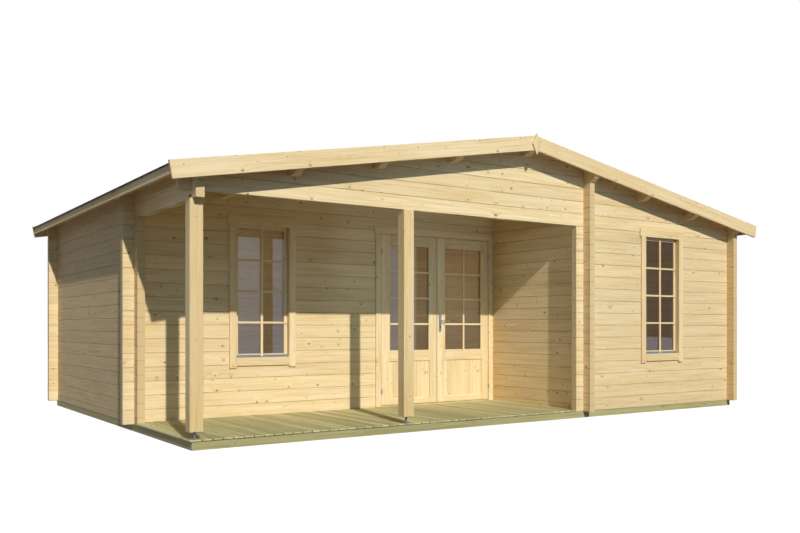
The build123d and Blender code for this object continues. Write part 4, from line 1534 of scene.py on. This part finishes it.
@dataclass
class Handle:
    """Long plates with a lock under them and a lever that bends from its neck into a bar."""

    x: float = 0.0665
    z: float = 1.0679
    faces: tuple[tuple[float, int], ...] = ((-0.932, -1), (-0.887, 1))
    plate: tuple[float, float] = (0.038, 0.216)
    plate_above: float = 0.082
    plate_thick: float = 0.003
    corner: float = 0.012
    neck: float = 0.048
    bar: float = 0.112
    half_high: float = 0.007
    half_thick: float = 0.0055
    bend: float = 0.018
    lock_below: float = 0.072
    screw: float = 0.004
    screw_inset: float = 0.014

    @staticmethod
    def _rounded(x: Span, z: Span, corner: float) -> np.ndarray:
        """Draws an oblong with quarter circles at its corners.

        Args:
            x: From and to along the front.
            z: From and to, up.
            corner: Radius of the corners.

        Returns:
            Its outline, anticlockwise seen from the front.
        """
        quarter = np.linspace(0.0, math.pi / 2, 7)
        turns = np.concatenate([quarter + turn * math.pi / 2 for turn in range(4)])
        right = np.repeat(np.array([1, 0, 0, 1]), 7)
        upper = np.repeat(np.array([1, 1, 0, 0]), 7)
        centre_x = np.where(right == 1, x[1] - corner, x[0] + corner)
        centre_z = np.where(upper == 1, z[1] - corner, z[0] + corner)
        return np.stack([centre_x + corner * np.cos(turns), centre_z + corner * np.sin(turns)], axis=1)

    def _plates(self) -> None:
        """Builds the plates, the lock's barrel and the plates' screws.

        Returns:
            None.
        """
        plates, lock = MeshBin(), MeshBin()
        half = self.plate[0] / 2
        high = self.z + self.plate_above
        outline = self._rounded((self.x - half, self.x + half), (high - self.plate[1], high), self.corner)
        lock_z = self.z - self.lock_below
        keyhole = self._rounded((self.x - 0.0065, self.x + 0.0065), (lock_z - 0.022, lock_z + 0.0085), 0.0064)
        for face, way in self.faces:
            y = tuple(sorted((face, face + way * self.plate_thick)))
            plates.slab(outline, y, Grain.UPRIGHT, 0.0009)
            for screw_z in (high - self.screw_inset, high - self.plate[1] + self.screw_inset):
                foot = np.array([self.x, face + way * self.plate_thick, screw_z])
                heights = way * np.array([-0.001, 0.0008, 0.0017])
                plates.turned(foot, heights, np.array([1.0, 1.0, 0.55]) * self.screw, 12, axis=1)
            deep = tuple(sorted((face + way * 0.001, face + way * (self.plate_thick + 0.002))))
            lock.slab(keyhole, deep, Grain.UPRIGHT, 0.0006)
        plates.build("handle_plate_pair", Body.RIGHT_DOOR, Slot.STEEL, STEEL.material(), ("handle_plates",))
        lock.build("lock_barrels", Body.RIGHT_DOOR, Slot.DARK_STEEL, STEEL_DARK.material())

    def _lever(self) -> None:
        """Sweeps an oval along each lever's path: out from the plate, round a bend and along the leaf.

        Returns:
            None.
        """
        metal = MeshBin()
        turn = np.linspace(0.0, math.pi / 2, 13)
        straight = self.neck - self.half_thick - self.bend
        around = straight + self.bend * np.sin(turn[1:])
        out = np.concatenate([np.linspace(0.0003, straight, 4), around, np.full(12, straight + self.bend)])
        tail = np.linspace(self.bend, self.bar, 13)[1:]
        aside = np.concatenate([np.zeros(4), self.bend * (1.0 - np.cos(turn[1:])), tail])
        angle = np.concatenate([np.zeros(4), turn[1:], np.full(12, math.pi / 2)])
        fade = np.concatenate([np.zeros(4), np.linspace(0.0, 1.0, 13)[1:], np.ones(12)])
        drawn = np.sqrt(np.clip(1.0 - np.clip((aside - self.bar + 0.006) / 0.0061, 0.0, 1.0) ** 2, 0.02, 1.0))
        high = (0.008 + (self.half_high - 0.008) * fade) * drawn
        thick = (0.008 + (self.half_thick - 0.008) * fade) * drawn
        round_it = np.linspace(0.0, math.tau, 18, endpoint=False)
        for face, way in self.faces:
            foot = np.array([self.x, face + way * self.plate_thick, self.z])
            across = thick[:, None] * np.cos(round_it)
            x = aside[:, None] + across * np.cos(angle)[:, None]
            y = way * (out[:, None] - across * np.sin(angle)[:, None])
            z = high[:, None] * np.sin(round_it)
            rings = foot + np.stack([x, y, z], axis=-1)
            metal.rings(rings, np.stack([aside[:, None] + 0.0 * x, z], axis=-1))
        depth = self.faces[1][0] - self.faces[0][0] + 2 * self.plate_thick
        foot = np.array([self.x, self.faces[0][0] - self.plate_thick, self.z])
        metal.turned(foot, np.linspace(0.0, depth, 3), np.full(3, 0.004), 12, axis=1)
        metal.build("lever_pair", Body.LEVER, Slot.STEEL, STEEL.material(), ("door_lever",), smooth=True)

    def build(self) -> None:
        """Builds the handle.

        Returns:
            None.
        """
        self._plates()
        self._lever()


@dataclass(frozen=True)
class FarLamp:
    """A lamp so far off that its light goes one way all over; its angles are in degrees."""

    name: str
    strength: float
    spread: float
    elevation: float
    way: tuple[float, float]
    colour: Colour

    def build(self) -> None:
        """Sets the lamp: its light goes the given way over the ground and down by its elevation.

        Returns:
            None.
        """
        light = bpy.data.lights.new(self.name, "SUN")
        light.energy, light.angle, light.color = self.strength, math.radians(self.spread), self.colour
        elevation = math.radians(self.elevation)
        flat = math.cos(elevation) / math.hypot(*self.way)
        heading = Vector((self.way[0] * flat, self.way[1] * flat, -math.sin(elevation)))
        lamp = bpy.data.objects.new(self.name, light)
        lamp.rotation_euler = heading.to_track_quat("-Z", "Y").to_euler()
        bpy.context.scene.collection.objects.link(lamp)


@dataclass
class Studio:
    """The white ground, the light and the camera."""

    far_lamps: tuple[FarLamp, ...] = (
        FarLamp("sun", 3.25, 0.8, 30.4, (0.2027, 0.98), (1.0, 0.985, 0.955)),
        FarLamp("fill", 0.62, 55.0, 4.0, (0.12, 0.99), (0.35, 0.68, 1.0)),
        FarLamp("back", 2.0, 25.0, 28.0, (-0.62, -0.78), (1.0, 0.98, 0.95)),
    )
    sky: Colour = (0.05, 0.056, 0.06)
    mirror_dims: Span = (0.58, 0.74)
    room_lights: tuple[tuple[Place, float], ...] = (
        ((-1.4, 1.0, 1.7), 16.0), ((2.65, 1.2, 1.35), 16.0), ((2.2, -0.6, 1.9), 4.0),
    )
    room_colour: Colour = (0.94, 1.0, 1.0)
    room_soft: float = 0.4
    porch_light: float = 3.4
    porch_size: tuple[float, float] = (2.6, 1.3)
    porch_place: Place = (-0.3, -7.0, 0.85)
    porch_heading: Place = (0.0, 1.0, 0.15)
    porch_spread: float = math.radians(35.0)
    porch_colour: Colour = (0.49, 0.75, 1.0)
    side_light: float = 3100.0
    side_place: Place = (-24.0, -1.0, 1.2)
    side_heading: Place = (20.6, -1.2, 0.0)
    side_cone: float = math.radians(6.4)
    side_blend: float = 0.4
    side_soft: float = 0.5
    side_colour: Colour = (0.53, 0.71, 1.0)
    eye: Place = (-5.793, -9.456, 0.992)
    turn: float = math.radians(-36.634)
    lens: float = 39.13
    shift: tuple[float, float] = (-0.0905, 0.0757)
    ground_reach: float = 60.0
    ground_glow: float = 0.9
    ground_shadow: float = 0.23
    ground_bounce: float = 0.15

    @staticmethod
    def _seen(tree: bpy.types.NodeTree) -> Socket:
        """Tells rays that are looked along from rays that light things.

        Args:
            tree: The node tree.

        Returns:
            1 for a camera, glossy or transmission ray, else 0.
        """
        path = tree.nodes.new("ShaderNodeLightPath")
        total = path.outputs["Is Camera Ray"]
        for key in ("Is Glossy Ray", "Is Transmission Ray"):
            added = tree.nodes.new("ShaderNodeMath")
            added.operation = "MAXIMUM"
            tree.links.new(total, added.inputs[0])
            tree.links.new(path.outputs[key], added.inputs[1])
            total = added.outputs[0]
        return total

    def world(self) -> None:
        """Makes surroundings that look white and light the shade only a little.

        What is mirrored in the panes is white as well, but for a darker part far to the right.

        Returns:
            None.
        """
        world = bpy.data.worlds.new("studio")
        world.use_nodes = True
        tree = world.node_tree
        tree.nodes.clear()
        white, soft = tree.nodes.new("ShaderNodeBackground"), tree.nodes.new("ShaderNodeBackground")
        white.inputs["Color"].default_value = (1.0, 1.0, 1.0, 1.0)
        soft.inputs["Color"].default_value = (*self.sky, 1.0)
        way, parts = tree.nodes.new("ShaderNodeTexCoord"), tree.nodes.new("ShaderNodeSeparateXYZ")
        tree.links.new(way.outputs["Generated"], parts.inputs[0])
        aside = tree.nodes.new("ShaderNodeMapRange")
        for key, value in zip(("From Min", "From Max"), self.mirror_dims):
            aside.inputs[key].default_value = value
        tree.links.new(parts.outputs[0], aside.inputs["Value"])
        path, dimmed = tree.nodes.new("ShaderNodeLightPath"), tree.nodes.new("ShaderNodeMath")
        dimmed.operation = "MULTIPLY"
        tree.links.new(aside.outputs[0], dimmed.inputs[0])
        tree.links.new(path.outputs["Is Glossy Ray"], dimmed.inputs[1])
        share = tree.nodes.new("ShaderNodeMath")
        share.operation = "SUBTRACT"
        tree.links.new(self._seen(tree), share.inputs[0])
        tree.links.new(dimmed.outputs[0], share.inputs[1])
        mix, output = tree.nodes.new("ShaderNodeMixShader"), tree.nodes.new("ShaderNodeOutputWorld")
        tree.links.new(share.outputs[0], mix.inputs[0])
        tree.links.new(soft.outputs[0], mix.inputs[1])
        tree.links.new(white.outputs[0], mix.inputs[2])
        tree.links.new(mix.outputs[0], output.inputs["Surface"])
        bpy.context.scene.world = world

    def ground(self) -> None:
        """Lays a plain white ground that takes a faint shadow.

        Returns:
            None.
        """
        reach = self.ground_reach
        mesh = bpy.data.meshes.new("ground")
        corners = np.array([(-1, -1, 0), (1, -1, 0), (1, 1, 0), (-1, 1, 0)]) * reach
        mesh.from_pydata(corners.tolist(), [], [[0, 1, 2, 3]])
        material = bpy.data.materials.new("white_ground")
        material.use_nodes = True
        tree = material.node_tree
        tree.nodes.clear()
        kinds = ("ShaderNodeEmission", "ShaderNodeBsdfDiffuse", "ShaderNodeBsdfDiffuse")
        glow, seen, dull = (tree.nodes.new(kind) for kind in kinds)
        glow.inputs["Color"].default_value = (1.0, 1.0, 1.0, 1.0)
        glow.inputs["Strength"].default_value = self.ground_glow
        for shader, grey in ((seen, self.ground_shadow), (dull, self.ground_bounce)):
            shader.inputs["Color"].default_value = (grey, grey, grey, 1.0)
        shown, mix = tree.nodes.new("ShaderNodeAddShader"), tree.nodes.new("ShaderNodeMixShader")
        output = tree.nodes.new("ShaderNodeOutputMaterial")
        tree.links.new(glow.outputs[0], shown.inputs[0])
        tree.links.new(seen.outputs[0], shown.inputs[1])
        tree.links.new(self._seen(tree), mix.inputs[0])
        tree.links.new(dull.outputs[0], mix.inputs[1])
        tree.links.new(shown.outputs[0], mix.inputs[2])
        tree.links.new(mix.outputs[0], output.inputs["Surface"])
        mesh.materials.append(material)
        ground = bpy.data.objects.new("ground", mesh)
        bpy.context.scene.collection.objects.link(ground)

    def lamps(self) -> None:
        """Sets the far lamps, weak lamps in the room and two lamps aimed into the porch.

        Returns:
            None.
        """
        for lamp in self.far_lamps:
            lamp.build()
        for number, (place, strength) in enumerate(self.room_lights):
            glow = bpy.data.lights.new(f"room_{number}", "POINT")
            glow.energy, glow.color, glow.shadow_soft_size = strength, self.room_colour, self.room_soft
            self._hang(glow, place, (0.0, 0.0, -1.0))
        front = bpy.data.lights.new("porch_front", "AREA")
        front.shape, front.size, front.size_y = "RECTANGLE", *self.porch_size
        front.energy, front.color, front.spread = self.porch_light, self.porch_colour, self.porch_spread
        self._hang(front, self.porch_place, self.porch_heading)
        side = bpy.data.lights.new("porch_side", "SPOT")
        side.energy, side.color, side.shadow_soft_size = self.side_light, self.side_colour, self.side_soft
        side.spot_size, side.spot_blend = self.side_cone, self.side_blend
        self._hang(side, self.side_place, self.side_heading)

    @staticmethod
    def _hang(light: bpy.types.Light, place: Place, heading: Place) -> None:
        """Puts a lamp in its place, hidden from the camera and from what the panes mirror.

        Args:
            light: The lamp's data.
            place: Where it hangs.
            heading: The way it shines.

        Returns:
            None.
        """
        lamp = bpy.data.objects.new(light.name, light)
        lamp.location = place
        lamp.rotation_euler = Vector(heading).to_track_quat("-Z", "Z").to_euler()
        lamp.visible_camera = lamp.visible_glossy = False
        bpy.context.scene.collection.objects.link(lamp)

    def camera(self) -> None:
        """Sets the camera where the photo was taken from.

        Returns:
            None.
        """
        lens = bpy.data.cameras.new("camera")
        lens.sensor_width, lens.lens = 36.0, self.lens
        lens.shift_x, lens.shift_y = self.shift
        lens.clip_end = 200.0
        camera = bpy.data.objects.new("camera", lens)
        camera.location = self.eye
        camera.rotation_euler = (math.pi / 2, 0.0, self.turn)
        bpy.context.scene.collection.objects.link(camera)
        bpy.context.scene.camera = camera

    def build(self) -> None:
        """Sets up the surroundings.

        Returns:
            None.
        """
        self.world()
        self.ground()
        self.lamps()
        self.camera()
        bpy.context.scene.view_settings.view_transform = "Standard"


def main() -> None:
    """Builds and dresses the bungalow, then sets it in the studio.

    Returns:
        None.
    """
    logging.basicConfig(level=logging.INFO, format="%(message)s")
    LogWalls().dress()
    PorchGround().build()
    RoofCover().build()
    pine = WoodFinish("joinery_pine", Grain.BY_MAP, None, 120.0, knot_share=0.6, knot_size=0.007)
    joinery = pine.material()
    glass = GlassFinish("window_glass").material()
    windows = (Window("porch_window", -2.1550, -0.920), Window("front_window", 2.1513, -2.530))
    for window in windows:
        window.build(joinery, glass)
    DripStrips(windows).build()
    DoorFrame().build(joinery)
    DoorLeaf("left", Body.LEFT_DOOR, -0.739).build(joinery, glass)
    DoorLeaf("right", Body.RIGHT_DOOR, 0.0265).build(joinery, glass)
    PostFeet().build()
    Hinges().build()
    Handle().build()
    Studio().build()


if __name__ == "__main__":
    main()
